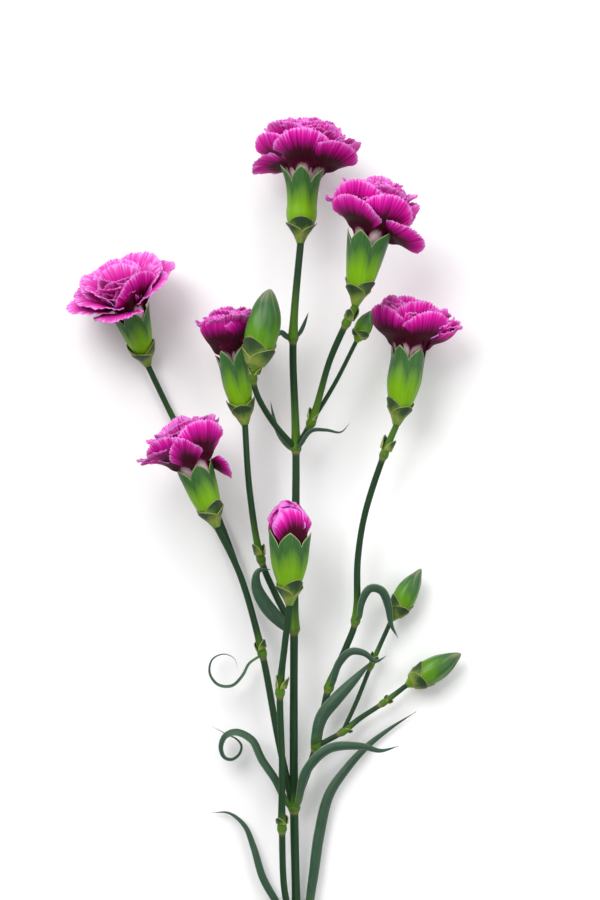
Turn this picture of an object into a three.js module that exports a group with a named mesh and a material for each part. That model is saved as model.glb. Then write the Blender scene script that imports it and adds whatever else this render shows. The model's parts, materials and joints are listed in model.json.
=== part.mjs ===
// A cut spray carnation lying on a table: one main stem with its side shoots, leaves, flowers and
// buds. Millimetres, +Z up. The stem lies along Y with its flowers towards +Y, and the table is z = 0.
import * as THREE from "three";

const V = (x, y, z) => new THREE.Vector3(x, y, z);
const UP = V(0, 0, 1);

// The places below are written in a sketch frame. This shift puts the row's origin at the middle
// of the finished part's footprint, on the table.
const SKETCH_TO_ROW = V(12.9, 60.1, 0);

// Driving sizes.
const GAP = 0.4; // clearance between pieces that touch in the plant
const STEM_SIDES = 8;
const STEM_STEP = 16; // spacing of the sections along a stem
const SWELL = 1.55; // a joint's radius over its stem's
const JOINT_LENGTH = 3; // how far a joint's swelling reaches to each side
const JOINT_SECTIONS = [-3.4, -1.2, 1.2, 4.6]; // sections round a joint, from its middle
const LEAF_STEP = 3.6;
const LEAF_THICKNESS = 0.9;
const LEAF_TAPER_FROM = 0.35; // where along a leaf its long point begins
const CALYX_WALL = 0.9;
const SEPALS = 5;
const BRACTS = 4;
const TOOTH = 6.5; // length of a sepal's free tip
const CUP_DEPTH = 7; // how far the petals reach down inside the calyx
const FOOT_DEPTH = 1.8; // thickness of the bract cup below the calyx or bud

const GREEN = {
  stem: material(0x40664a, 0.55),
  leaf: material(0x45685a, 0.6),
  calyx: material(0x69922a, 0.5),
  bract: material(0x48613e, 0.55),
};
const PETAL = material(0xda239f, 0.75);
const PETAL_PALE = material(0xe46bd1, 0.75);

// Stems: hand-placed points, tip radius and base radius; joints are the points where leaves sit.
const STEMS = [
  {
    name: "main_stem",
    base: 1.9,
    tip: 1.45,
    joints: [1, 2, 3, 4, 5],
    route: [
      V(0, -259, 1.9),
      V(-1.3, -204, 4.5),
      V(-2.5, -152, 8),
      V(-2.5, -75.6, 13.5),
      V(-1.7, 0.8, 19),
      V(-2.9, 47, 23.5),
      V(0.2, 86.2, 26.5),
    ],
  },
  {
    name: "front_flower_stem",
    base: 1.35,
    tip: 1.25,
    joints: [1, 3],
    route: [
      V(0.8, 3.6, 21.6),
      V(4.6, 11.3, 25),
      V(12.6, 37.8, 36),
      V(19.2, 52.5, 41.5),
      V(22.7, 59.3, 43.9),
    ],
  },
  {
    name: "upper_bud_stem",
    base: 0.9,
    tip: 0.9,
    joints: [],
    route: [V(8.9, 13.6, 25.6), V(14.9, 28.4, 29.5), V(22.9, 44.2, 31.8)],
  },
  {
    name: "large_bud_stem",
    base: 1.2,
    tip: 1.2,
    joints: [3],
    route: [
      V(-4.3, 3.1, 21),
      V(-10.5, 10.5, 26.5),
      V(-17.6, 22.5, 36.5),
      V(-19.4, 29.5, 40),
      V(-18.8, 34.4, 41.4),
    ],
  },
  {
    name: "cup_flower_stem",
    base: 1.35,
    tip: 1.25,
    joints: [2],
    route: [
      V(-6.1, -71.6, 13.7),
      V(-10.4, -60.9, 14),
      V(-16.4, -46.2, 16.5),
      V(-21.2, -16.8, 22),
      V(-23, 9.9, 24.5),
    ],
  },
  {
    name: "left_flower_stem",
    base: 1.5,
    tip: 1.25,
    joints: [2],
    route: [
      V(-6.3, -146.8, 8.6),
      V(-9.4, -121.8, 9.5),
      V(-16, -86.1, 12),
      V(-25.2, -52.5, 21),
      V(-34.5, -32.8, 28),
    ],
  },
  {
    name: "face_flower_stem",
    base: 1.2,
    tip: 1.25,
    joints: [3],
    route: [
      V(-19.4, -82.3, 10.6),
      V(-22.4, -63, 6.5),
      V(-32.8, -33.6, 4),
      V(-46.2, -2.1, 3),
      V(-56.7, 18.9, 3.2),
      V(-64.6, 35.5, 4.8),
    ],
  },
  {
    name: "right_flower_stem",
    base: 1.5,
    tip: 1.3,
    joints: [1, 2, 4, 7],
    route: [
      V(1.6, -147, 8.4),
      V(6.7, -126, 9),
      V(12.2, -100.8, 10.5),
      V(19.3, -84, 12),
      V(23.5, -72.2, 13),
      V(24.4, -46.2, 15),
      V(27.3, -27.3, 17),
      V(35.3, -2.1, 20),
      V(40.3, 9.9, 20.9),
    ],
  },
  {
    name: "low_bud_stem",
    base: 1.1,
    tip: 0.95,
    joints: [1, 3],
    route: [
      V(11.4, -123.4, 8.8),
      V(18.1, -119.7, 8),
      V(25.2, -114.2, 7.4),
      V(35.3, -107.6, 6.8),
      V(45, -100.3, 6.6),
    ],
  },
  {
    name: "right_bud_stem",
    base: 0.9,
    tip: 0.9,
    joints: [2],
    route: [
      V(20.3, -115, 8.2),
      V(23.9, -107.1, 8),
      V(30.2, -91.6, 7.2),
      V(38.6, -72.8, 6.9),
    ],
  },
  {
    name: "pink_bud_stem",
    base: 1.35,
    tip: 1.35,
    joints: [2, 4],
    route: [
      V(-3.6, -199.8, 8.4),
      V(-6.2, -189, 10.5),
      V(-7.6, -160, 14.5),
      V(-7.6, -130.2, 17.5),
      V(-8.4, -102.1, 21),
      V(-6.4, -81.9, 24.5),
      V(-4.4, -65.4, 26.6),
    ],
  },
];

// Leaves: route, widest width, and the blade's turn about its route at both ends in degrees
// (0 lies flat, 90 stands on edge).
const LEAVES = [
  {
    name: "curled_leaf",
    width: 4.6,
    turn: [25, 90],
    route: [
      V(-5.6, -150, 11),
      V(-10.1, -139, 13),
      V(-15.5, -130.6, 13.5),
      V(-19.7, -122.2, 13.2),
      V(-26.9, -118.6, 12.4),
      V(-32.2, -120.6, 11.4),
      V(-34.2, -125.8, 10.4),
      V(-32.6, -130.6, 9.4),
      V(-28.9, -131.8, 8.6),
      V(-25.4, -129.2, 8),
      V(-24.6, -125.4, 7.5),
      V(-26.9, -122.6, 6.8),
      V(-31, -120.8, 6.2),
      V(-37.8, -117.4, 5.4),
    ],
  },
  {
    name: "arched_leaf",
    width: 4.8,
    turn: [35, 10],
    route: [
      V(-0.4, -150.4, 11.9),
      V(3, -136, 16.5),
      V(12.2, -126.4, 18),
      V(26, -125.4, 15.5),
      V(34, -127.4, 12.5),
      V(42, -125.4, 11),
    ],
  },
  {
    name: "broad_leaf",
    width: 6.2,
    turn: [10, 20],
    route: [
      V(-5, -75, 16.6),
      V(-13.4, -66, 20.5),
      V(-18, -57, 22.5),
      V(-17.4, -51, 23),
      V(-12.5, -50.2, 21.5),
    ],
  },
  {
    name: "drooping_leaf",
    width: 5,
    turn: [60, 20],
    route: [
      V(25.5, -71.8, 15.2),
      V(26.8, -64.3, 17.5),
      V(29.8, -59.2, 18),
      V(33.9, -60, 16.5),
      V(36.8, -66, 14),
      V(38.4, -74, 12),
      V(41.5, -79.6, 11),
    ],
  },
  {
    name: "hooked_leaf",
    width: 4,
    turn: [40, 15],
    route: [
      V(13.8, -100.2, 12.9),
      V(16.8, -90.5, 16),
      V(21.6, -85.4, 18),
      V(27, -86, 17),
      V(32, -89.4, 15),
      V(36.6, -87, 14),
    ],
  },
  {
    name: "straight_leaf",
    width: 5.8,
    turn: [15, 5],
    route: [
      V(6.2, -123.6, 12.2),
      V(9.6, -113, 13),
      V(15.6, -105.4, 13.6),
      V(22, -98.6, 12),
      V(31, -89, 9.5),
    ],
  },
  {
    name: "sickle_leaf",
    width: 2.9,
    turn: [45, 75],
    route: [
      V(0.4, 1.6, 23.4),
      V(5, 7.6, 27.8),
      V(11, 7.9, 29.5),
      V(17, 7.2, 29.8),
      V(21, 11.4, 29.2),
    ],
  },
  {
    name: "upper_left_leaf",
    width: 2.6,
    turn: [30, 50],
    route: [V(-4.6, 1.2, 17.6), V(-8.4, 6.6, 16.6), V(-10.6, 13, 16), V(-12.4, 20.6, 16.4)],
  },
  {
    name: "top_left_leaf",
    width: 3,
    turn: [20, 60],
    route: [V(-6, 47, 24.4), V(-7.8, 49.6, 26), V(-10.2, 48.2, 26.4), V(-12.6, 44.4, 26)],
  },
  {
    name: "top_right_leaf",
    width: 2.4,
    turn: [40, 50],
    route: [V(0.3, 48.2, 24.2), V(1.7, 51.7, 25.4), V(3.6, 57.6, 26.6)],
  },
  {
    name: "ringed_leaf",
    width: 2.6,
    turn: [60, 90],
    route: [
      V(-18.4, -87.8, 10),
      V(-21.8, -90.2, 11),
      V(-24.8, -95.4, 12),
      V(-29, -99.4, 11.6),
      V(-34.6, -99, 11),
      V(-38, -94.4, 10),
      V(-37, -89, 9),
      V(-32.4, -86.8, 8.2),
      V(-28, -88.6, 7.6),
      V(-26.2, -93.4, 7),
    ],
  },
  {
    name: "low_left_leaf",
    width: 3.6,
    turn: [20, 40],
    route: [
      V(-5, -201, 4.4),
      V(-9.4, -193, 5),
      V(-15.4, -182, 5.5),
      V(-19.4, -169, 5),
      V(-23.4, -159.8, 4.5),
      V(-30.2, -154.6, 3.4),
      V(-37.8, -154.8, 1.6),
    ],
  },
  {
    name: "low_right_leaf",
    width: 4.8,
    turn: [10, 15],
    route: [
      V(2.9, -200.2, 4.8),
      V(5.4, -184.8, 6),
      V(8.4, -163.8, 6),
      V(12.6, -147, 5.6),
      V(20.2, -135.7, 4.6),
      V(28.6, -126.6, 3.4),
      V(38, -119.2, 2.6),
      V(49.6, -111.6, 2.2),
    ],
  },
];

// Flowers: the calyx runs from base to tips; head and crown are the head's radius and height above
// the sepals' tips, and roll turns the flower about its own axis.
const FLOWERS = [
  {
    name: "top_flower",
    base: V(0.2, 86.9, 26.5),
    tips: V(1.5, 118.4, 27),
    head: 27,
    crown: 20,
    roll: 0,
  },
  {
    name: "front_flower",
    base: V(22.9, 60.1, 44),
    tips: V(28.8, 90.3, 46),
    head: 22,
    crown: 21,
    roll: 20,
  },
  {
    name: "right_flower",
    base: V(40.6, 10.9, 21),
    tips: V(46.4, 43.9, 20.6),
    head: 20.4,
    crown: 18,
    roll: 8,
  },
  {
    name: "left_flower",
    base: V(-34.9, -31.9, 28.4),
    tips: V(-44.9, -5, 31),
    head: 18,
    crown: 19,
    roll: 30,
  },
  {
    name: "face_flower",
    base: V(-64.9, 36.4, 5.6),
    tips: V(-72.2, 61, 18.8),
    head: 22,
    crown: 15,
    roll: 12,
  },
  {
    name: "cup_flower",
    base: V(-23.1, 10.9, 24.6),
    tips: V(-28.6, 42, 25.4),
    head: 12,
    crown: 16,
    roll: 40,
  },
];
const CALYX = { foot: 5.4, middle: 6.6, mouth: 7.6 };

// Buds: still closed, from base to point, with the widest radius.
const BUDS = [
  { name: "large_bud", base: V(-18.5, 35.3, 41.6), point: V(-12.3, 66.4, 43), radius: 7.4 },
  { name: "upper_bud", base: V(23.5, 45.2, 31.9), point: V(29.8, 58, 32.6), radius: 3.6 },
  { name: "right_bud", base: V(39.1, -71.9, 6.9), point: V(51.4, -50.4, 7.6), radius: 4.9 },
  { name: "low_bud", base: V(45.7, -99.8, 6.6), point: V(68.4, -86.5, 7.6), radius: 5.4 },
];
// The bud whose pink petals have just broken out between the sepals.
const PINK_BUD = {
  name: "pink_bud",
  base: V(-4.4, -64.6, 26.7),
  tips: V(-4.4, -33.6, 28.6),
  head: 7.4,
  crown: 13,
  calyx: { foot: 5.2, middle: 7.2, mouth: 8.6 },
};

function material(color, roughness) {
  return new THREE.MeshStandardMaterial({ color, roughness, metalness: 0 });
}

// A closed solid through rings of equal length; each end is closed by a fan to its middle.
function loft(rings) {
  const sides = rings[0].length;
  const middle = (ring) => ring.reduce((sum, p) => sum.add(p), V(0, 0, 0)).divideScalar(sides);
  const points = [...rings.flat(), middle(rings[0]), middle(rings.at(-1))];
  const first = points.length - 2;
  const index = [];
  for (let i = 0; i < sides; i++) {
    const j = (i + 1) % sides;
    for (let k = 0; k < rings.length - 1; k++) {
      const a = k * sides;
      const b = a + sides;
      index.push(a + i, a + j, b + j, a + i, b + j, b + i);
    }
    const last = (rings.length - 1) * sides;
    index.push(first, j, i, first + 1, last + i, last + j);
  }
  const geometry = new THREE.BufferGeometry().setFromPoints(points);
  geometry.setIndex(facesOut(points, index) ? index : index.reverse());
  geometry.computeVertexNormals();
  return geometry;
}

function facesOut(points, index) {
  let volume = 0;
  for (let i = 0; i < index.length; i += 3) {
    const [a, b, c] = [0, 1, 2].map((k) => points[index[i + k]]);
    volume += a.dot(V(0, 0, 0).crossVectors(b, c));
  }
  return volume > 0;
}

// Stations along a curve, by distance: an even spacing, and closer sections round each joint.
function stations(curve, spacing, joints) {
  const length = curve.getLength();
  const even = Math.max(2, Math.round(length / spacing));
  const clear = (s) => joints.every((j) => Math.abs(s - j) > 2 * JOINT_LENGTH);
  const at = Array.from({ length: even + 1 }, (_, i) => (i / even) * length)
    .filter((s) => s === 0 || s === length || clear(s))
    .concat(joints.flatMap((j) => JOINT_SECTIONS.map((d) => j + d)))
    .filter((s) => s >= 0 && s <= length)
    .sort((a, b) => a - b);
  return at.map((s) => s / length);
}

// How far along the curve one of its own points lies.
function distanceOf(curve, point) {
  const samples = 400;
  let best = 0;
  for (let i = 1; i <= samples; i++) {
    if (
      curve.getPointAt(i / samples).distanceTo(point) <
      curve.getPointAt(best / samples).distanceTo(point)
    ) {
      best = i;
    }
  }
  return (best / samples) * curve.getLength();
}

// A stem: round sections that taper from base to tip and swell at each joint.
function stemGeometry({ route, base, tip, joints }) {
  const curve = new THREE.CatmullRomCurve3(route, false, "centripetal");
  const length = curve.getLength();
  const swollen = joints.map((j) => distanceOf(curve, route[j]));
  const radiusAt = (u) => {
    const plain = base + (tip - base) * u;
    const bulge = (s) => Math.exp(-(((u * length - s) / JOINT_LENGTH) ** 2));
    const near = Math.max(0, ...swollen.map(bulge));
    return plain * (1 + (SWELL - 1) * near);
  };
  const rings = stations(curve, STEM_STEP, swollen).map((u) => {
    const along = curve.getTangentAt(u);
    const side = V(0, 0, 0).crossVectors(UP, along).normalize();
    const over = V(0, 0, 0).crossVectors(along, side);
    return ringAround(curve.getPointAt(u), side, over, STEM_SIDES, () => radiusAt(u));
  });
  return loft(rings);
}

// A ring of points round a centre, in the plane of two axes, with a radius for each angle.
function ringAround(centre, side, over, count, radius) {
  return Array.from({ length: count }, (_, i) => {
    const angle = (i / count) * 2 * Math.PI;
    const r = radius(angle);
    return centre
      .clone()
      .addScaledVector(side, r * Math.cos(angle))
      .addScaledVector(over, r * Math.sin(angle));
  });
}

// A leaf: a lens-shaped blade along its route, narrowing to a point.
function leafGeometry({ route, width, turn }) {
  const curve = new THREE.CatmullRomCurve3(route, false, "centripetal");
  const steps = Math.max(4, Math.round(curve.getLength() / LEAF_STEP));
  const rings = Array.from({ length: steps + 1 }, (_, i) => {
    const u = i / steps;
    const along = curve.getTangentAt(u);
    const level = V(0, 0, 0).crossVectors(UP, along).normalize();
    const rise = V(0, 0, 0).crossVectors(along, level);
    const angle = THREE.MathUtils.degToRad(turn[0] + (turn[1] - turn[0]) * u);
    const across = level.clone().multiplyScalar(Math.cos(angle));
    across.addScaledVector(rise, Math.sin(angle));
    const face = V(0, 0, 0).crossVectors(along, across);
    const half = (width / 2) * bladeShare(u);
    const thick = (LEAF_THICKNESS / 2) * (1 - 0.5 * u);
    const middle = curve.getPointAt(u);
    return [
      middle.clone().addScaledVector(across, half),
      middle.clone().addScaledVector(face, thick),
      middle.clone().addScaledVector(across, -half),
      middle.clone().addScaledVector(face, -thick),
    ];
  });
  return loft(rings);
}

// A blade's width at u, as a share of its widest: broad for half its length, then a long point.
function bladeShare(u) {
  const widening = Math.min(1, u / LEAF_TAPER_FROM);
  const narrowing = Math.max(0, u - LEAF_TAPER_FROM) / (1 - LEAF_TAPER_FROM);
  const foot = 0.72 + 0.28 * Math.sin(widening * (Math.PI / 2));
  const point = 1 - narrowing ** 1.6;
  return Math.max(0.1, foot * point);
}

// A flower's own frame: the base, its axis, and two axes across it, turned by roll.
function flowerFrame({ base, tips, point, roll = 0 }) {
  const end = tips ?? point;
  const axis = end.clone().sub(base);
  const length = axis.length();
  axis.normalize();
  const side = V(0, 0, 0).crossVectors(UP, axis).normalize();
  side.applyAxisAngle(axis, THREE.MathUtils.degToRad(roll));
  const over = V(0, 0, 0).crossVectors(axis, side);
  const ring = (s, count, radius, lift = () => 0) =>
    ringAround(base, side, over, count, radius).map((p, i) =>
      p.addScaledVector(axis, s + lift((i / count) * 2 * Math.PI)),
    );
  return { length, ring };
}

// A sepal or bract edge: 1 at each of the tips round a cup, 0 in the notches.
const toothed = (count) => (angle) => Math.abs(((angle * count) / (2 * Math.PI)) % 1 - 0.5) * 2;

// The calyx: a tube joined from sepals, with a free tooth on each, hollow at its mouth.
function calyxGeometry(flower) {
  const { length, ring } = flowerFrame(flower);
  const { foot, middle, mouth } = flower.calyx ?? CALYX;
  const count = SEPALS * 4;
  const notch = length - TOOTH;
  const tooth = toothed(SEPALS);
  const lift = (angle) => TOOTH * tooth(angle);
  const round = (r) => () => r;
  return loft([
    ring(FOOT_DEPTH + GAP, count, round(foot * 0.45)),
    ring(4.6, count, round(foot)),
    ring(length * 0.45, count, round(middle)),
    ring(notch - 1, count, round(mouth)),
    ring(notch, count, (a) => mouth + 0.5 * tooth(a), lift),
    ring(notch, count, (a) => mouth - CALYX_WALL + 0.5 * tooth(a), lift),
    ring(notch - 1, count, round(mouth - CALYX_WALL)),
    ring(notch - CUP_DEPTH, count, round(mouth - CALYX_WALL - 0.6)),
  ]);
}

// The epicalyx: a cup of short bracts that holds the foot of a calyx or bud. Brim is the radius
// of what it holds at the height of the bracts' tips.
function epicalyxGeometry({ ring }, foot, brim, height) {
  const count = BRACTS * 3;
  const tooth = (angle) => Math.max(0, toothed(BRACTS)(angle) * 1.5 - 0.5);
  const lift = (angle) => 0.42 * height * tooth(angle);
  const round = (r) => () => r;
  const thick = 0.7;
  const waist = foot + GAP + 0.3;
  const lip = brim + GAP + 0.3;
  return loft([
    ring(0, count, round(foot * 0.34)),
    ring(height * 0.2, count, round(foot * 0.85)),
    ring(height * 0.44, count, round(waist + thick)),
    ring(height * 0.62, count, round(lip + thick), lift),
    ring(height * 0.62, count, round(lip), lift),
    ring(height * 0.44, count, round(waist)),
    ring(FOOT_DEPTH, count, round(foot * 0.5)),
  ]);
}

// The outer petals: one lobed cap that arches out over the sepals and turns down at its rim, with
// its narrow claws standing inside the calyx.
function outerPetalsGeometry(flower) {
  const { length, ring } = flowerFrame(flower);
  const { head, crown } = flower;
  const count = SEPALS * 4;
  const waist = CALYX.mouth - CALYX_WALL - 2 * GAP;
  const shoulder = length + crown * 0.25;
  const rim = length + crown * 0.14;
  const lobed = (share) => (a) => head * share * (1 + 0.05 * Math.cos(SEPALS * a));
  const ruffle = (a) => 1.2 * Math.cos(2 * SEPALS * a);
  const round = (r) => () => r;
  return loft([
    ring(length - TOOTH - CUP_DEPTH + 1, count, round(waist - 1.6)),
    ring(length + 0.6, count, round(waist)),
    ring(shoulder, count, lobed(0.55)),
    ring(rim, count, lobed(1), ruffle),
    ring(rim + 1.2, count, lobed(1), ruffle),
    ring(shoulder + 1.6, count, lobed(0.52)),
    ring(length + 2.2, count, round(waist - 0.9)),
    ring(length - TOOTH, count, round(1.6)),
  ]);
}

// The inner petals: a ruffled dome on top of the outer petals.
function innerPetalsGeometry(flower) {
  const { length, ring } = flowerFrame(flower);
  const { head, crown } = flower;
  const count = 16;
  const wavy = (share, amount) => (a) => head * share * (1 + amount * Math.cos(4 * a));
  const ruffle = (amount) => (a) => amount * Math.cos(8 * a);
  return loft([
    ring(length + 2, count, wavy(0.12, 0)),
    ring(length + crown * 0.25 + 3.6, count, wavy(0.46, 0.03)),
    ring(length + crown * 0.38 + 0.6, count, wavy(0.88, 0.04), ruffle(0.6)),
    ring(length + crown * 0.66, count, wavy(0.86, 0.06), ruffle(1.2)),
    ring(length + crown * 0.93, count, wavy(0.54, 0.08), ruffle(1.3)),
    ring(length + crown * 0.9, count, wavy(0.2, 0), ruffle(0.8)),
  ]);
}

// A half-open head keeps its petals upright in one tight cup.
function cupPetalsGeometry(flower) {
  const { length, ring } = flowerFrame(flower);
  const { head, crown } = flower;
  const mouth = (flower.calyx ?? CALYX).mouth;
  const waist = mouth - CALYX_WALL - 2 * GAP;
  const count = SEPALS * 4;
  const folded = (r, amount) => (a) => r * (1 + amount * Math.cos(SEPALS * a));
  const ruffle = (a) => 0.7 * Math.cos(2 * SEPALS * a);
  return loft([
    ring(length - TOOTH - CUP_DEPTH + 1, count, folded(waist - 1.6, 0)),
    ring(length - 1, count, folded(waist, 0)),
    ring(length + crown * 0.4, count, folded(head, 0.04)),
    ring(length + crown * 0.72, count, folded(head * 0.93, 0.06), ruffle),
    ring(length + crown * 0.96, count, folded(head * 0.55, 0.05), ruffle),
    ring(length + crown, count, folded(head * 0.2, 0)),
  ]);
}

// A closed bud: an egg drawn out to a blunt point.
function budGeometry(bud) {
  const { length, ring } = flowerFrame(bud);
  const outline = [
    [0.2, 0.76],
    [0.36, 1],
    [0.58, 0.96],
    [0.8, 0.6],
    [0.94, 0.24],
    [1, 0.07],
  ];
  const foot = ring(FOOT_DEPTH + GAP, 12, () => 0.36 * bud.radius);
  return loft([foot, ...outline.map(([s, r]) => ring(s * length, 12, () => r * bud.radius))]);
}

function add(group, name, geometry, look) {
  const mesh = new THREE.Mesh(geometry, look);
  mesh.name = name;
  group.add(mesh);
}

const carnation = new THREE.Group();
carnation.position.copy(SKETCH_TO_ROW);
for (const stem of STEMS) {
  add(carnation, stem.name, stemGeometry(stem), GREEN.stem);
}
for (const leaf of LEAVES) {
  add(carnation, leaf.name, leafGeometry(leaf), GREEN.leaf);
}
for (const flower of FLOWERS) {
  const frame = flowerFrame(flower);
  add(carnation, `${flower.name}_calyx`, calyxGeometry(flower), GREEN.calyx);
  const bracts = epicalyxGeometry(frame, CALYX.foot, CALYX.middle, 10);
  add(carnation, `${flower.name}_bracts`, bracts, GREEN.bract);
  if (flower.name === "cup_flower") {
    add(carnation, `${flower.name}_petals`, cupPetalsGeometry(flower), PETAL);
  } else {
    add(carnation, `${flower.name}_outer_petals`, outerPetalsGeometry(flower), PETAL);
    add(carnation, `${flower.name}_inner_petals`, innerPetalsGeometry(flower), PETAL_PALE);
  }
}
for (const bud of BUDS) {
  const frame = flowerFrame(bud);
  const bracts = epicalyxGeometry(frame, bud.radius * 0.84, bud.radius, 0.36 * frame.length);
  add(carnation, bud.name, budGeometry(bud), GREEN.calyx);
  add(carnation, `${bud.name}_bracts`, bracts, GREEN.bract);
}
const { foot, middle } = PINK_BUD.calyx;
const pinkBracts = epicalyxGeometry(flowerFrame(PINK_BUD), foot, middle, 10);
add(carnation, "pink_bud_calyx", calyxGeometry(PINK_BUD), GREEN.calyx);
add(carnation, "pink_bud_bracts", pinkBracts, GREEN.bract);
add(carnation, "pink_bud_petals", cupPetalsGeometry(PINK_BUD), PETAL);

export default carnation;
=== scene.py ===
"""A cut spray carnation lying on a table: its petals, calyces, bracts, buds, leaves and stems."""
import json
import math

import bpy
import numpy as np
from bpy.props import FloatProperty, FloatVectorProperty, IntProperty, PointerProperty
from mathutils import Matrix, Vector

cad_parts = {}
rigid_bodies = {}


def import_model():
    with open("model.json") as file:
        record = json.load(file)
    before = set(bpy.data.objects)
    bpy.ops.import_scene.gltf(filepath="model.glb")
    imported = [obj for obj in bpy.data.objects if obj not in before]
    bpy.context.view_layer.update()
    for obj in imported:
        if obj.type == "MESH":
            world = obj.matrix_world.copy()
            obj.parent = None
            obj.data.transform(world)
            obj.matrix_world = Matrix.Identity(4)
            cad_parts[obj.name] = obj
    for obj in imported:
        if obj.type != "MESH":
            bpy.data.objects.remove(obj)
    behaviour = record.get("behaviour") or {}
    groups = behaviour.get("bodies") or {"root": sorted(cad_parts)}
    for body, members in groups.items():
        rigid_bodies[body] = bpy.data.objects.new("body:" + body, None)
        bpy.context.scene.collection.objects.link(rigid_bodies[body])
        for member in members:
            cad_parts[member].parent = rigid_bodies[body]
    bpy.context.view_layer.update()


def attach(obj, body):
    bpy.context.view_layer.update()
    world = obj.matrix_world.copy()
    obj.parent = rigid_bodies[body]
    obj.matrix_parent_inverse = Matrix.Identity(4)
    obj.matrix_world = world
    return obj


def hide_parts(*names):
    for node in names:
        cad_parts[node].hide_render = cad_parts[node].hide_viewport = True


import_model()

bl_info = {
    "name": "Cut carnation",
    "version": (1, 0, 0),
    "blender": (4, 5, 0),
    "location": "3D View > Sidebar > Carnation",
    "description": "Grows a cut spray carnation, piece by piece, over its packed frame",
    "category": "Add Mesh",
}

MM = 0.001
# Where the origin of the routes below lies in the frame, in millimetres, as in the part's source.
SKETCH_TO_ROW = np.array((12.9, 60.1, 0.0))
UP = np.array((0.0, 0.0, 1.0))
GOLDEN = 137.5  # degrees from one petal of a spiral to the next
FULL_TURN = 2 * np.pi
SEPALS = 5  # joined sepals of a calyx, or closed ones of a bud

# Stems: base radius, tip radius, which points are joints, and the route in millimetres.
STEMS = {
    "main_stem": (1.9, 1.5, (1, 2, 3, 4, 5), (
        (0, -259, 1.9), (-1.3, -204, 4.5), (-2.5, -152, 8), (-2.5, -75.6, 13.5), (-1.7, 0.8, 19),
        (-2.9, 47, 23.5), (0.2, 86.2, 26.5))),
    "front_flower_stem": (1.4, 1.3, (1, 3), (
        (-1, 1.6, 19.5), (4.6, 11.3, 25), (12.6, 37.8, 36), (19.2, 52.5, 41.5),
        (22.7, 59.3, 43.9))),
    "upper_bud_stem": (0.9, 0.9, (), (
        (5, 11.9, 25.2), (14.9, 28.4, 29.5), (22.9, 44.2, 31.8))),
    "large_bud_stem": (1.25, 1.25, (3,), (
        (-2.2, 1, 19.3), (-10.5, 10.5, 26.5), (-17.6, 22.5, 36.5), (-19.4, 29.5, 40),
        (-18.8, 34.4, 41.4))),
    "cup_flower_stem": (1.4, 1.3, (2,), (
        (-3, -75.2, 13.5), (-10.4, -60.9, 14), (-16.4, -46.2, 16.5), (-21.2, -16.8, 22),
        (-23, 9.9, 24.5))),
    "left_flower_stem": (1.5, 1.3, (2,), (
        (-3, -151.6, 8.2), (-9.4, -121.8, 9.5), (-16, -86.1, 12), (-25.2, -52.5, 21),
        (-34.5, -32.8, 28))),
    "face_flower_stem": (1.2, 1.25, (3,), (
        (-16.2, -86, 11.8), (-22.4, -63, 6.5), (-32.8, -33.6, 4), (-46.2, -2.1, 3),
        (-56.7, 18.9, 3.2), (-64.6, 35.6, 4.8))),
    "right_flower_stem": (1.5, 1.3, (1, 2, 4, 7), (
        (-2.2, -151.6, 8.2), (6.7, -126, 9), (12.2, -100.8, 10.5), (19.3, -84, 12),
        (23.5, -72.2, 13), (24.4, -46.2, 15), (27.3, -27.3, 17), (35.3, -2.1, 20),
        (40.3, 9.9, 20.9))),
    "low_bud_stem": (1.15, 1.0, (1, 3), (
        (7.2, -125.6, 9), (18.1, -119.7, 8), (25.2, -114.2, 7.4), (35.3, -107.6, 6.8),
        (45, -100.3, 6.6))),
    "right_bud_stem": (0.9, 0.95, (2,), (
        (18.3, -119.2, 8.1), (23.9, -107.1, 8), (30.2, -91.6, 7.2), (38.6, -72.8, 6.9))),
    "pink_bud_stem": (1.4, 1.4, (2, 4), (
        (-1.8, -203, 5), (-6.2, -189, 10.5), (-7.6, -160, 14.5), (-7.6, -130.2, 17.5),
        (-8.4, -102.1, 21), (-6.4, -81.9, 24.5), (-4.4, -65.4, 26.6))),
}

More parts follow.
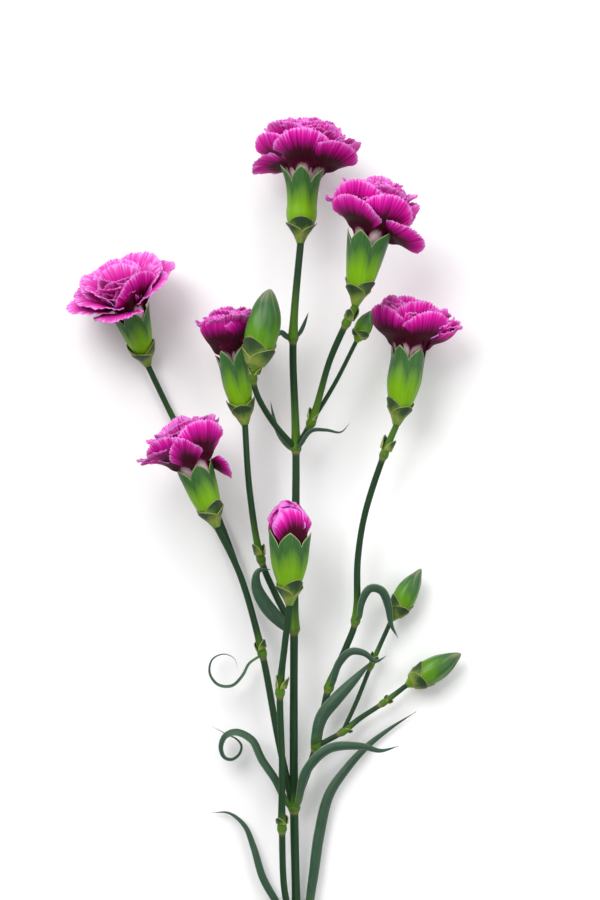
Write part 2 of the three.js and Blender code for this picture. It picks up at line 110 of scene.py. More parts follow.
# Leaves: widest width, the blade's turn at base and tip in degrees (0 lies flat), and the route.
LEAVES = {
    "curled_leaf": (4.6, (25, 90), (
        (-3.2, -151.6, 9), (-6, -148, 11.4), (-10.1, -139, 13), (-15.5, -130.6, 13.5),
        (-19.7, -122.2, 13.2), (-26.9, -118.6, 12.4), (-32.2, -120.6, 11.4), (-34.2, -125.8, 10.4),
        (-32.6, -130.6, 9.4), (-28.9, -131.8, 8.6), (-25.4, -129.2, 8), (-24.6, -125.4, 7.5),
        (-26.9, -122.6, 6.8), (-31, -120.8, 6.2), (-37.8, -117.4, 5.4))),
    "arched_leaf": (4.8, (35, 10), (
        (-2, -152, 9.6), (-0.4, -149.4, 12.2), (3, -136, 16.5), (12.2, -126.4, 18),
        (26, -125.4, 15.5), (34, -127.4, 12.5), (42, -125.4, 11))),
    "broad_leaf": (6.2, (10, 20), (
        (-3.4, -76.6, 14.4), (-5.6, -74.4, 16.8), (-13.4, -66, 20.5), (-18, -57, 22.5),
        (-17.4, -51, 23), (-12.5, -50.2, 21.5))),
    "drooping_leaf": (5, (60, 20), (
        (24, -73, 13.4), (25.6, -70.8, 15.6), (26.8, -64.3, 17.5), (29.8, -59.2, 18),
        (33.9, -60, 16.5), (36.8, -66, 14), (38.4, -74, 12), (41.5, -79.6, 11))),
    "hooked_leaf": (4, (40, 15), (
        (12.4, -101.4, 11), (14, -99.2, 13.2), (16.8, -90.5, 16), (21.6, -85.4, 18),
        (27, -86, 17), (32, -89.4, 15), (36.6, -87, 14))),
    "straight_leaf": (5.8, (15, 5), (
        (6.4, -126, 9.8), (6.9, -122.6, 12.2), (9.6, -113, 13), (15.6, -105.4, 13.6),
        (22, -98.6, 12), (31, -89, 9.5))),
    "sickle_leaf": (2.9, (45, 75), (
        (-1.4, 0.2, 20), (0.6, 2, 23.6), (5, 7.6, 27.8), (11, 7.9, 29.5), (17, 7.2, 29.8),
        (21, 11.4, 29.2))),
    "upper_left_leaf": (2.6, (30, 50), (
        (-2.6, 0, 18.6), (-4.8, 1.6, 17.6), (-8.4, 6.6, 16.6), (-10.6, 13, 16),
        (-12.4, 20.6, 16.4))),
    "top_left_leaf": (3, (20, 60), (
        (-3.2, 46.2, 23.6), (-5.6, 48, 24.8), (-7.8, 49.6, 26), (-10.2, 48.2, 26.4),
        (-12.6, 44.4, 26))),
    "top_right_leaf": (2.4, (40, 50), (
        (-2.4, 46.6, 23.6), (0, 48.6, 24.2), (1.7, 51.7, 25.4), (3.6, 57.6, 26.6))),
    "ringed_leaf": (2.6, (60, 90), (
        (-16.2, -86.6, 11.2), (-18.4, -87.8, 10.4), (-21.8, -90.2, 11), (-24.8, -95.4, 12),
        (-29, -99.4, 11.6), (-34.6, -99, 11), (-38, -94.4, 10), (-37, -89, 9),
        (-32.4, -86.8, 8.2), (-28, -88.6, 7.6), (-26.2, -93.4, 7))),
    "low_left_leaf": (3.6, (20, 40), (
        (-2, -203.6, 4.6), (-5.2, -200.4, 4.6), (-9.4, -193, 5), (-15.4, -182, 5.5),
        (-19.4, -169, 5), (-23.4, -159.8, 4.5), (-30.2, -154.6, 3.4), (-37.8, -154.8, 1.6))),
    "low_right_leaf": (4.8, (10, 15), (
        (-0.6, -203.6, 4.8), (2.6, -199.6, 5), (5.4, -184.8, 6), (8.4, -163.8, 6),
        (12.6, -147, 5.6), (20.2, -135.7, 4.6), (28.6, -126.6, 3.4), (38, -119.2, 2.6),
        (49.6, -111.6, 2.2))),
}

# Calyces: base, sepal tips, radii at foot, middle and mouth, how far the sepal tips flare, and
# which way one tooth faces in degrees; 0 faces up.
CALYCES = {
    "top_flower": ((0.2, 86.9, 26.5), (1.5, 118.4, 27), (6.1, 6.3, 7.2), 1.3, -6),
    "front_flower": ((22.9, 60.1, 44), (28.8, 90.3, 46), (5.6, 7.0, 8.4), 1.0, -22),
    "right_flower": ((40.6, 10.9, 21), (46.4, 43.9, 20.6), (5.2, 7.1, 7.0), 0.3, -34),
    "left_flower": ((-34.9, -31.9, 28.4), (-44.9, -5, 31), (5.3, 6.4, 7.2), 0.6, 10),
    "face_flower": ((-64.9, 36.4, 5.6), (-72.2, 61, 18.8), (4.9, 6.2, 7.4), 0.8, 0),
    "cup_flower": ((-23.1, 10.9, 24.6), (-28.6, 42, 25.4), (4.6, 6.1, 6.3), 0.3, -38),
    "pink_bud": ((-4.4, -64.6, 26.7), (-4.4, -33.6, 28.6), (5.3, 7.4, 8.4), 0.3, 2),
}

# Buds: base, point, widest radius and how blunt the point is.
BUDS = {
    "large_bud": ((-18.9, 32.8, 41.3), (-12.3, 66.4, 43), 6.9, 1.0),
    "upper_bud": ((23.5, 45.2, 31.9), (29.8, 58, 32.6), 3.6, 0.3),
    "right_bud": ((39.1, -71.9, 6.9), (51.4, -50.4, 7.6), 4.9, 0.1),
    "low_bud": ((45.7, -99.8, 6.6), (68.4, -86.5, 7.6), 5.4, 0.3),
}

# Petal patterns: length, width, half angle of the fan, opening, roll of the rim (outward above 0),
# curvature across, depth and count of the big folds, depth of the small folds, how far the deep
# colour reaches, and how many differ.
PATTERNS = {
    "broad": (20.5, 24, 74, 62, -44, 0.03, 0.4, 1.1, 0.2, 0.08, 4),
    "cup": (19, 27, 72, 46, -58, 0.1, 0.25, 1.4, 0.2, 0.1, 4),
    "shell": (20, 23, 58, 32, 20, 0.04, 0.6, 1.2, 0.28, 0, 6),
    "spread": (20, 23, 58, 52, 26, 0.02, 1.1, 1.6, 0.36, 0, 6),
    "bowl": (19.5, 23, 64, 60, -64, 0.065, 0.4, 1.4, 0.24, 0.1, 4),
    "crowded": (20, 18, 50, 14, 30, 0.04, 1.3, 1.8, 0.42, 0, 6),
    "hooded": (18.5, 22, 66, 22, 34, 0.05, 0.5, 1.2, 0.24, 0.02, 3),
    "furled": (19, 21, 70, 16, -86, 0.105, 0.15, 1.1, 0.14, -0.14, 4),
}

# Whorls of petals for each flower: pattern, count, first angle (0 faces up, 90 to its right),
# step, lean, ring radius, lift, size and the petal's roll round its own middle line.
OUTER = {
    "top_flower": (
        ("broad", 1, -6, 0, 4, 6.6, 1, 1.06, 0), ("broad", 1, 62, 0, 20, 7.4, 0, 1.0, -42),
        ("broad", 1, -74, 0, 10, 6, 0.6, 1.02, 26), ("broad", 1, 96, 0, 18, 6, 0.2, 1.12, -16),
        ("spread", 1, -116, 0, 38, 5.6, -1, 0.9, 30), ("spread", 3, 140, 40, 4, 5.4, 0, 1.12, 8),
        ("shell", 1, 30, 0, -4, 5, 0.6, 1.12, -8), ("shell", 1, -46, 0, 0, 5, 0.6, 1.12, 14),
        ("shell", 1, 88, 0, 18, 4.8, 0.6, 0.98, -4), ("shell", 1, 108, 0, 24, 5.2, 0.4, 1.14, -16),
        ("shell", 1, -98, 0, 14, 4.8, 0.4, 0.98, 6), ("shell", 3, 140, 45, 6, 4.8, 0.2, 1.12, 8)),
    "front_flower": (
        ("broad", 1, -34, 0, 6, 7.2, 0.6, 0.98, 0), ("broad", 1, 22, 0, 0, 6.8, 0.6, 1.06, -8),
        ("broad", 1, 76, 0, 46, 6.4, -0.6, 0.94, -40), ("spread", 1, -90, 0, 2, 5.6, 0, 1.0, 20),
        ("broad", 1, 92, 0, 2, 5.6, 0.6, 1.02, -18), ("spread", 4, 130, 36, 2, 5.4, 0, 1.08, 8),
        ("broad", 1, -40, 0, -6, 5.8, 1, 1.16, 16), ("shell", 1, 6, 0, -12, 4.2, 0.8, 1.14, 0),
        ("shell", 1, 56, 0, -8, 4.2, 0.8, 1.06, 0), ("shell", 3, 120, 60, 2, 4.8, 0.2, 1.14, 8)),
    "right_flower": (
        ("bowl", 1, -26, 0, 6, 6, 0.4, 0.92, 6), ("bowl", 1, 30, 0, 8, 6, 0.4, 1.06, -6),
        ("bowl", 1, -72, 0, 10, 5.8, 0.2, 1.08, 18), ("bowl", 4, 92, 56, 9, 5.8, 0, 1.08, 10),
        ("bowl", 5, 4, 72, 3, 5.0, 0.6, 1.12, 10), ("spread", 1, 92, 0, -4, 5.8, 0, 0.98, -10)),
    "left_flower": (
        ("broad", 1, 24, 0, -6, 6.8, -0.2, 1.08, -4), ("broad", 1, -36, 0, -2, 6.2, -0.2, 1.06, 8),
        ("spread", 1, -84, 0, 4, 5.6, 0, 1.04, 30), ("shell", 1, 92, 0, 106, 6, -1.6, 0.58, -36),
        ("spread", 1, -108, 0, 12, 5.4, 0, 0.9, 20), ("hooded", 1, 80, 0, 6, 5.6, 0.4, 1.0, -26),
        ("shell", 4, 120, 42, 0, 5.2, 0, 1.0, 8)),
    "face_flower": (
        ("broad", 1, 32, 0, -20, 6.3, 1, 0.96, 0), ("spread", 1, -22, 0, 20, 6, 0, 0.96, 0),
        ("spread", 1, -88, 0, 16, 5.6, 0, 1.1, 16), ("spread", 1, -68, 0, 2, 5.2, 0.5, 1.05, 10),
        ("spread", 1, 84, 0, 4, 5.4, 0, 1.0, -20), ("spread", 1, -150, 0, 0, 5.2, 0, 1.18, 0),
        ("spread", 1, 146, 0, 0, 5.2, 0, 1.18, 0), ("spread", 3, 116, 60, 10, 5.2, 0, 1.1, 8)),
}
INNER = {
    "top_flower": (
        ("shell", 7, 0, GOLDEN, -7, 4, 1.2, 1.1, 8),
        ("crowded", 8, 40, GOLDEN, 14, 3.4, 1, 1.06, 0),
        ("crowded", 7, 15, GOLDEN, 8, 2.2, 0.6, 1.06, 0),
        ("crowded", 6, 70, GOLDEN, -2, 1, 0.6, 1.08, 0),
        ("crowded", 4, 30, GOLDEN, -20, 0.8, 0.6, 1.08, 0)),
    "front_flower": (
        ("shell", 7, 0, GOLDEN, -9, 4, 0.8, 1.12, 8),
        ("crowded", 7, 40, GOLDEN, 16, 3.2, 1, 1.1, 0),
        ("crowded", 6, 15, GOLDEN, 8, 2.2, 1, 1.14, 0),
        ("crowded", 5, 70, GOLDEN, -2, 1, 1, 1.18, 0),
        ("crowded", 4, 30, GOLDEN, -20, 0.8, 1, 1.18, 0)),
    "right_flower": (
        ("bowl", 7, 0, GOLDEN, -4, 4.4, 0.8, 1.1, 10),
        ("crowded", 8, 40, GOLDEN, 14, 3.8, 0.8, 1.0, 0),
        ("crowded", 8, 15, GOLDEN, 6, 2.4, 0.8, 0.98, 0),
        ("crowded", 6, 70, GOLDEN, -2, 1, 0.8, 0.98, 0),
        ("crowded", 4, 30, GOLDEN, -20, 0.8, 0.8, 0.98, 0)),
    "left_flower": (
        ("shell", 6, 0, GOLDEN, -8, 3.8, 0.6, 0.98, 8),
        ("crowded", 6, 40, GOLDEN, 8, 3, 0.8, 0.96, 0),
        ("crowded", 5, 15, GOLDEN, 2, 1.8, 0.8, 0.98, 0),
        ("crowded", 4, 30, GOLDEN, -20, 0.8, 0.8, 0.98, 0)),
    "face_flower": (
        ("spread", 5, 86, 48, -8, 4, 0.6, 0.98, 6), ("shell", 6, 40, GOLDEN, -14, 3, 0.6, 0.9, 0),
        ("hooded", 1, -24, 0, -6, 4.4, 0.6, 0.9, 0),
        ("crowded", 6, 15, GOLDEN, 14, 2.8, 0.2, 0.76, 0),
        ("crowded", 5, 70, GOLDEN, 4, 1.4, 0, 0.68, 0),
        ("crowded", 4, 30, GOLDEN, -20, 0.8, 0, 0.68, 0)),
    "cup_flower": (
        ("cup", 1, 26, 0, 2, 4.8, 0.2, 0.94, 0), ("cup", 4, 98, 72, 4, 4.6, 0.2, 0.94, 6),
        ("cup", 4, 60, 90, 0, 3.8, 0.4, 0.97, 6), ("crowded", 9, 15, GOLDEN, 12, 3, 1, 0.92, 0),
        ("crowded", 7, 70, GOLDEN, 2, 1.6, 1, 0.94, 0),
        ("crowded", 3, 30, GOLDEN, -20, 0.8, 1, 0.94, 0)),
    "pink_bud": (
        ("furled", 1, 16, 0, 6, 6.2, -4.4, 1.04, 4), ("furled", 1, -62, 0, 4, 5.6, -5, 0.92, 10),
        ("furled", 1, -32, 0, 2, 4.8, -3.6, 0.92, 8), ("furled", 3, 112, 58, 2, 5, -3.8, 1.0, 10),
        ("furled", 3, 0, 120, -2, 3, -1.6, 0.98, 6), ("furled", 3, 50, 120, -6, 2, -0.8, 0.97, 6)),
}

# Which way the upper pair of bracts faces, in degrees; 0 faces up.
BRACT_TURNS = {
    "top_flower": 8, "front_flower": 60, "right_flower": -55, "left_flower": 30, "face_flower": 70,
    "cup_flower": 90, "pink_bud": 28, "large_bud": -40, "upper_bud": 20, "right_bud": -60,
    "low_bud": -70,
}

# Pairs of scales: stem, joint, length in millimetres and which way the first one faces.
SCALES = (
    ("low_bud_stem", 1, 3.6, 60), ("low_bud_stem", 3, 4.2, -50), ("right_bud_stem", 2, 5, 40),
    ("front_flower_stem", 1, 6, 70), ("front_flower_stem", 3, 7, -30), ("large_bud_stem", 3, 5, 80),
    ("cup_flower_stem", 2, 6.5, -60), ("left_flower_stem", 2, 5.5, 50),
    ("face_flower_stem", 3, 5.5, -40), ("right_flower_stem", 7, 7, 60),
    ("pink_bud_stem", 2, 5, -30), ("pink_bud_stem", 4, 7, 75),
)


def srgb(red, green, blue):
    """Screen values from 0 to 255 as a linear colour."""
    return tuple(
        ((c / 255 + 0.055) / 1.055) ** 2.4 if c > 10 else c / 3294.6 for c in (red, green, blue))


class CarnationSizes(bpy.types.PropertyGroup):
    """Sizes of the plant's pieces."""

    petal_thickness: FloatProperty(
        name="Petal thickness", description="Thickness of one petal", default=0.22 * MM,
        unit="LENGTH")
    petal_teeth: FloatProperty(
        name="Petal teeth", description="Depth of the teeth on a petal's rim", default=0.65 * MM,
        unit="LENGTH")
    lean_jitter: FloatProperty(
        name="Petal lean", description="How far petals of one whorl differ in lean",
        default=math.radians(7), subtype="ANGLE")
    size_jitter: FloatProperty(
        name="Petal size spread", description="How far petals of one whorl differ in size",
        default=0.06, subtype="FACTOR")
    seed: IntProperty(name="Seed", description="Chooses one arrangement of the petals", default=4)
    calyx_wall: FloatProperty(
        name="Calyx wall", description="Thickness of a calyx's wall", default=0.42 * MM,
        unit="LENGTH")
    sepal_tooth: FloatProperty(
        name="Sepal tooth", description="Length of a sepal's free tip", default=6.2 * MM,
        unit="LENGTH")
    bract_length: FloatProperty(
        name="Bract length", description="Length of a bract under an open flower",
        default=11 * MM, unit="LENGTH")
    joint_swell: FloatProperty(
        name="Joint swelling", description="How much wider a stem is at its joints", default=0.55,
        subtype="FACTOR")
    leaf_channel: FloatProperty(
        name="Leaf channel", description="Depth of a leaf's channel over its half width",
        default=0.5, subtype="FACTOR")


class CarnationColours(bpy.types.PropertyGroup):
    """Colours of the plant's finishes."""

    rim: FloatVectorProperty(
        name="Petal rim", description="Pale lilac of the petals' toothed rims",
        default=srgb(228, 140, 222), subtype="COLOR")
    petal: FloatVectorProperty(
        name="Petal", description="Magenta of the petals", default=srgb(216, 12, 160),
        subtype="COLOR")
    # Partly the petals' own deeper colour and partly painted shade.
    wine: FloatVectorProperty(
        name="Petal base", description="Wine red low on the petals' backs",
        default=srgb(62, 1, 26), subtype="COLOR")
    claw: FloatVectorProperty(
        name="Petal claw", description="Pale narrow foot of a petal", default=srgb(222, 190, 196),
        subtype="COLOR")
    calyx_low: FloatVectorProperty(
        name="Calyx foot", description="Yellow-green low on the calyx",
        default=srgb(120, 172, 6), subtype="COLOR")
    calyx_high: FloatVectorProperty(
        name="Sepal teeth", description="Blue-green of the sepals' tips",
        default=srgb(64, 110, 54), subtype="COLOR")
    bract: FloatVectorProperty(
        name="Bract", description="Dark green of the bracts", default=srgb(54, 80, 44),
        subtype="COLOR")
    stem: FloatVectorProperty(
        name="Stem", description="Blue-green of the stems", default=srgb(26, 56, 28),
        subtype="COLOR")
    joint: FloatVectorProperty(
        name="Joint", description="Fresh green above each joint", default=srgb(82, 124, 26),
        subtype="COLOR")
    leaf: FloatVectorProperty(
        name="Leaf", description="Grey-green of the leaves", default=srgb(34, 68, 44),
        subtype="COLOR")
    floor: FloatVectorProperty(
        name="Floor", description="Plain pale floor", default=(0.96, 0.96, 0.96), subtype="COLOR")


# Shapes -------------------------------------------------------------------------------------


def smoothstep(x):
    """A smooth rise from 0 to 1 while x goes from 0 to 1."""
    x = np.clip(x, 0, 1)
    return x * x * (3 - 2 * x)


def eased(keys, values, x):
    """A smooth curve through values at keys, read at x."""
    keys, values = np.asarray(keys, float), np.asarray(values, float)
    slopes = np.gradient(values, keys)
    i = np.clip(np.searchsorted(keys, x) - 1, 0, len(keys) - 2)
    span = keys[i + 1] - keys[i]
    t = np.clip((x - keys[i]) / span, 0, 1)
    h = t * t * (3 - 2 * t)
    return (
        values[i] * (1 - h) + values[i + 1] * h
        + span * t * (1 - t) * (slopes[i] * (1 - t) - slopes[i + 1] * t)
    )


def smooth_path(points, step):
    """Points every step along a smooth route, their distances, and the route points' own."""
    points = np.asarray(points, float)
    padded = np.vstack([2 * points[0] - points[1], points, 2 * points[-1] - points[-2]])
    samples, marks = [points[0]], [0]
    for p0, p1, p2, p3 in zip(padded, padded[1:], padded[2:], padded[3:]):
        chords = np.sqrt([np.linalg.norm(b - a) for a, b in ((p0, p1), (p1, p2), (p2, p3))])
        t1 = chords[0]
        t2, t3 = t1 + chords[1], t1 + chords[1] + chords[2]
        t = np.linspace(t1, t2, 30)[1:, None]
        a1, a2 = (p0 * (t1 - t) + p1 * t) / t1, (p1 * (t2 - t) + p2 * (t - t1)) / (t2 - t1)
        a3 = (p2 * (t3 - t) + p3 * (t - t2)) / (t3 - t2)
        b1, b2 = (a1 * (t2 - t) + a2 * t) / t2, (a2 * (t3 - t) + a3 * (t - t1)) / (t3 - t1)
        samples.extend((b1 * (t2 - t) + b2 * (t - t1)) / (t2 - t1))
        marks.append(len(samples) - 1)
    samples = np.array(samples)
    far = np.append(0, np.cumsum(np.linalg.norm(np.diff(samples, axis=0), axis=1)))
    even = np.linspace(0, far[-1], max(4, round(far[-1] / step)))
    path = np.stack([np.interp(even, far, samples[:, k]) for k in range(3)], 1)
    return path, even, far[marks]


def joint_row(even, distance):
    """Which row of an even path is at a distance along it."""
    return int(np.searchsorted(even, distance).clip(0, len(even) - 1))


def mesh_object(name, vertices, faces, loose_edges=(), uv=None, **attributes):
    """An object made of these vertices in millimetres, with float attributes on its points."""
    mesh = bpy.data.meshes.new(name)
    mesh.from_pydata((np.asarray(vertices) * MM).tolist(), list(loose_edges), faces)
    for key, values in attributes.items():
        layer = mesh.attributes.new(key, "FLOAT", "POINT")
        layer.data.foreach_set("value", np.asarray(values, np.float32).ravel())
    if uv is not None:
        layer = mesh.uv_layers.new(name="UVMap")
        layer.data.foreach_set("uv", np.asarray(uv, np.float32).ravel())
    mesh.shade_smooth()
    return bpy.data.objects.new(name, mesh)


def route_object(path, even, reach, turn, **attributes):
    """A chain of edges along a path, with what its sweep and its finish read on its points."""
    edges = [(i, i + 1) for i in range(len(path) - 1)]
    return mesh_object(
        "route", path, [], edges, reach=reach * MM, turn=turn, along=even, **attributes)


def sheet_faces(rows, columns, wrap):
    """Faces of a grid and each corner's column and row."""
    faces, corners = [], []
    for r in range(rows - 1):
        for c in range(columns if wrap else columns - 1):
            d = (c + 1) % columns
            here, above = r * columns, (r + 1) * columns
            faces.append((here + c, here + d, above + d, above + c))
            corners += [(c, r), (c + 1, r), (c + 1, r + 1), (c, r + 1)]
    return faces, corners


def closed_tube(name, rings, along, **attributes):
    """A closed body through rings, its ends shut by fans, with UVs round and along it."""
    rings = np.asarray(rings, float)
    rows, columns = rings.shape[:2]
    faces, corners = sheet_faces(rows, columns, True)
    ends = [rings[0].mean(0), rings[-1].mean(0)]
    vertices = np.vstack([rings.reshape(-1, 3), ends])
    last = (rows - 1) * columns
    for c in range(columns):
        d = (c + 1) % columns
        faces.append((rows * columns, d, c))
        corners += [(c + 0.5, 0), (c + 1, 0), (c, 0)]
        faces.append((rows * columns + 1, last + c, last + d))
        corners += [(c + 0.5, rows - 1), (c, rows - 1), (c + 1, rows - 1)]
    corners = np.array(corners)
    heights = np.asarray(along, float)[corners[:, 1].astype(int)]
    uv = np.stack([corners[:, 0] / columns, heights], 1)
    full = {}
    for key, values in attributes.items():
        values = np.broadcast_to(values, (rows, columns))
        full[key] = np.append(values.ravel(), [values[0].mean(), values[-1].mean()])
    return mesh_object(name, vertices, faces, uv=uv, **full)


def thin_sheet(name, grid, thickness, uv_grid, **attributes):
    """A closed thin sheet round a grid of points. Its side attribute is 1 on the outer face."""
    rows, columns = grid.shape[:2]
    down, across = np.gradient(grid, axis=0), np.gradient(grid, axis=1)
    normal = np.cross(across, down)
    normal /= np.maximum(np.linalg.norm(normal, axis=2, keepdims=True), 1e-9)
    count = rows * columns
    vertices = np.vstack([(grid + normal * thickness / 2).reshape(-1, 3),
                          (grid - normal * thickness / 2).reshape(-1, 3)])
    front, corners = sheet_faces(rows, columns, False)
    faces = list(front) + [tuple(count + i for i in reversed(f)) for f in front]
    flat = [corners[i:i + 4] for i in range(0, len(corners), 4)]
    corners = [c for quad in flat for c in quad] + [c for quad in flat for c in reversed(quad)]
    edge = [(0, c) for c in range(columns)] + [(r, columns - 1) for r in range(1, rows)]
    edge += [(rows - 1, c) for c in range(columns - 2, -1, -1)]
    edge += [(r, 0) for r in range(rows - 2, 0, -1)]
    for (r0, c0), (r1, c1) in zip(edge, edge[1:] + edge[:1]):
        a, b = r0 * columns + c0, r1 * columns + c1
        faces.append((b, a, count + a, count + b))
        corners += [(c1, r1), (c0, r0), (c0, r0), (c1, r1)]
    corners = np.array(corners)
    uv = uv_grid[corners[:, 1], corners[:, 0]]
    side = np.repeat((0.0, 1.0), count)
    full = {key: np.tile(values.ravel(), 2) for key, values in attributes.items()}
    return mesh_object(name, vertices, faces, uv=uv, side=side, **full)


PETALS_SUNK = 1.5  # millimetres from the sepals' tips down to where the petals open
PETAL_ROWS, PETAL_COLUMNS = 17, 73
CLAW = 7.5  # millimetres of a petal's narrow foot, inside the calyx
CLAW_HALF, CLAW_GAIN = 1.2, 2.0  # half the claw's width at its foot, and what it gains upwards
CLAW_TILT = 18  # degrees that a petal's claw leans out
CLAW_SHARE, BLADE_SHARE = 0.22, 0.78  # of the run of colours along a petal
BELOW_WIDEST, ABOVE_WIDEST = 0.42, 0.58  # of a petal's length


def petal_outline(u, fan, length, width, phase):
    """The angle of each ray of the fan, and how far out on it the rim is, on an ellipse."""
    ray = np.radians(fan) * u * (1 + 0.04 * np.sin(3 * u + phase()))
    middle, tall, wide = BELOW_WIDEST * length, ABOVE_WIDEST * length, width / 2
    a = (np.sin(ray) / wide) ** 2 + (np.cos(ray) / tall) ** 2
    b, c = -2 * middle * np.cos(ray) / tall**2, (middle / tall) ** 2 - 1
    rim = (-b + np.sqrt(b * b - 4 * a * c)) / (2 * a)
    return ray, rim * (1 + 0.035 * np.sin(2.7 * u + phase()))


def petal_waves(u, t, fold, folds, crumple, phase):
    """How far big folds, small folds and fine pleats lift each point off the smooth petal."""
    waves = fold * t**1.5 * np.sin(np.pi * folds * u / 1.6 + phase() + 0.8 * t)
    for k in (3.4, 5.2, 7.7):
        waves = waves + crumple * t**2.6 * 0.55 * np.sin(np.pi * k * u / 1.3 + phase())
    pleats = 14 * u + 0.8 * np.sin(5 * u + phase())
    pleated = 0.7 * crumple * smoothstep((t - 0.5) / 0.5)
    return waves + pleated * np.sin(np.pi * pleats + phase())


def petal_profile(y, length, opening, lip):
    """How far out and how high each part of the flat petal comes to stand, and its slope."""
    path = np.linspace(-CLAW - 4, length + 2, 240)
    turning = (path / length - 0.5) / 0.5 if lip > 0 else (path / length - 0.22) / 0.75
    opened = (opening - CLAW_TILT) * smoothstep((path + 1) / 8)
    slope = np.radians(CLAW_TILT + opened + lip * smoothstep(turning))
    step = path[1] - path[0]
    out, high = np.cumsum(np.sin(slope)) * step, np.cumsum(np.cos(slope)) * step
    out, high = out - np.interp(0, path, out), high - np.interp(0, path, high)
    return [np.interp(y.ravel(), path, run).reshape(y.shape) for run in (out, high, slope)]


def petal_pattern(name, pattern, seed, thickness, teeth):
    """A petal whose claw stands on the origin's axis and whose blade fans out towards +Y."""
    length, width, fan, opening, lip, wrap, fold, folds, crumple, deep, _ = pattern
    rng = np.random.default_rng(seed)

    def phase():
        return rng.uniform(0, 6.28)

    # Two rows are in the claw, where t is 0, and the rest run to the rim, where t is 1.
    blade_rows = PETAL_ROWS - 2
    u = np.linspace(-1, 1, PETAL_COLUMNS)[None, :]
    t = np.concatenate([[0, 0], np.linspace(0, 1, blade_rows) ** 0.85])[:, None]
    foot = np.concatenate([[-CLAW, -CLAW / 2], np.zeros(blade_rows)])[:, None]
    half = CLAW_HALF + CLAW_GAIN * smoothstep((foot + CLAW) / CLAW)
    ray, rim = petal_outline(u, fan, length, width, phase)
    nicks = rng.uniform(0.35, 1.2, PETAL_COLUMNS) * (np.arange(PETAL_COLUMNS) % 2)
    far = t * (rim - teeth * nicks[None, :] * smoothstep((t - 0.92) / 0.08))
    x = (1 - t) * u * half + far * np.sin(ray)
    y = foot + far * np.cos(ray)
    waves = petal_waves(u, t, fold, folds, crumple, phase)

    # The petal curves across, most of all low down, where it hugs the flower's middle.
    hug = (0.07 if lip > 0 else 0.045) * (1 - smoothstep(y / 8))
    curve = np.maximum((wrap + hug) * smoothstep(t * 1.5), 1e-4)
    bend = waves - (1 - np.cos(curve * x)) / curve
    x = np.sin(curve * x) / curve
    out, high, slope = petal_profile(y, length, opening, lip)
    grid = np.stack([x, out + bend * np.cos(slope), high - bend * np.sin(slope)], 2)

    # The deep colour reaches further up at the side edges, so the pale rim ends before them.
    along = BLADE_SHARE * t * (1 - deep * (1 - smoothstep((t - 0.9) / 0.1)))
    darker = 0.2 if wrap > 0.05 else 0.06
    along = CLAW_SHARE * (foot + CLAW) / CLAW + along * (1 - darker * np.abs(u) ** 3)
    uv = np.stack(np.broadcast_arrays((u + 1) / 2, along), 2)
    return thin_sheet(name, grid, thickness / MM, uv)


def calyx_outline(length, radii, flare, tooth):
    """Heights and radii of a calyx from its narrow foot to its sepal tips."""
    foot, middle, mouth = radii
    keys = (3, 5, 7, 9.5, length * 0.52, length - tooth, length)
    return keys, (1.6, 2.9, foot * 0.82, foot, middle, mouth, mouth + flare)


def bud_outline(length, radius, blunt):
    """Heights and radii of a closed bud."""
    keys = np.array((0, 0.08, 0.18, 0.38, 0.58, 0.78, 0.9, 0.97, 1)) * length
    sharp = np.array((0.26, 0.52, 0.78, 1, 0.93, 0.62, 0.33, 0.16, 0.05))
    round_ = np.array((0.26, 0.5, 0.76, 0.98, 1, 0.78, 0.5, 0.26, 0.08))
    return keys, radius * (sharp * (1 - blunt) + round_ * blunt)


BRACT_THICKNESS = 0.32  # millimetres
# Heights and radii, in millimetres, of the funnel that an open flower's bracts make.
FUNNEL = (0, 1.2, 3, 4.5, 6, 9, 12), np.array((1.35, 1.6, 2.3, 3.3, 4.3, 5.3, 5.5))


def bract_pattern(name, low, high, spread, outline, gap, size, seed):
    """A bract that wraps a calyx or bud on the +Y side, from height low to its point at high."""
    rng = np.random.default_rng(seed)
    columns, rows = 27, 16
    u = np.linspace(-1, 1, columns)[None, :]
    v = np.linspace(0, 1, rows)[:, None]
    shape = (1 - np.clip((v - 0.42) / 0.58, 0, 1) ** 1.9) ** 0.85
    half = np.radians(spread) * np.maximum(shape, 0.025)
    s = low + (high - low) * v - 0.6 * size * u * u * np.sin(np.pi * v)
    body = eased(*outline, s)
    funnel = eased(FUNNEL[0], FUNNEL[1] * size, s / size)
    radius = np.maximum(body * (s > 2), np.minimum(funnel, body + 1.4))
    radius = radius + gap * smoothstep(0.3 + v * 2)
    radius = radius + 0.2 * size * smoothstep((v - 0.7) / 0.3) + 0.1 * size * np.abs(u) ** 3 * v
    radius = radius + 0.06 * size * np.sin(4 * u + rng.uniform(0, 6)) * v
    theta = u * half
    grid = np.stack([radius * np.sin(theta), radius * np.cos(theta), s], 2)
    uv = np.stack(np.broadcast_arrays((u + 1) / 2, v), 2)
    rim = (1 - np.abs(u)) * half * radius / 0.55
    return thin_sheet(name, grid, BRACT_THICKNESS, uv, rim=np.clip(rim, 0, 1))


def axis_frame(base, end):
    """A matrix from a flower's own space, +Z along its axis and +Y facing up, to the row frame."""
    base = (np.array(base) + SKETCH_TO_ROW) * MM
    end = (np.array(end) + SKETCH_TO_ROW) * MM
    z = end - base
    z /= np.linalg.norm(z)
    y = UP - z * z[2]
    y /= np.linalg.norm(y)
    x = np.cross(y, z)
    matrix = np.eye(4)
    matrix[:3, 0], matrix[:3, 1], matrix[:3, 2], matrix[:3, 3] = x, y, z, base
    return Matrix(matrix.tolist())


def axis_length(base, end):
    """Millimetres from a calyx's base to its sepals' tips, or from a bud's base to its point."""
    return float(np.linalg.norm(np.subtract(end, base)))


# Geometry node trees ------------------------------------------------------------------------


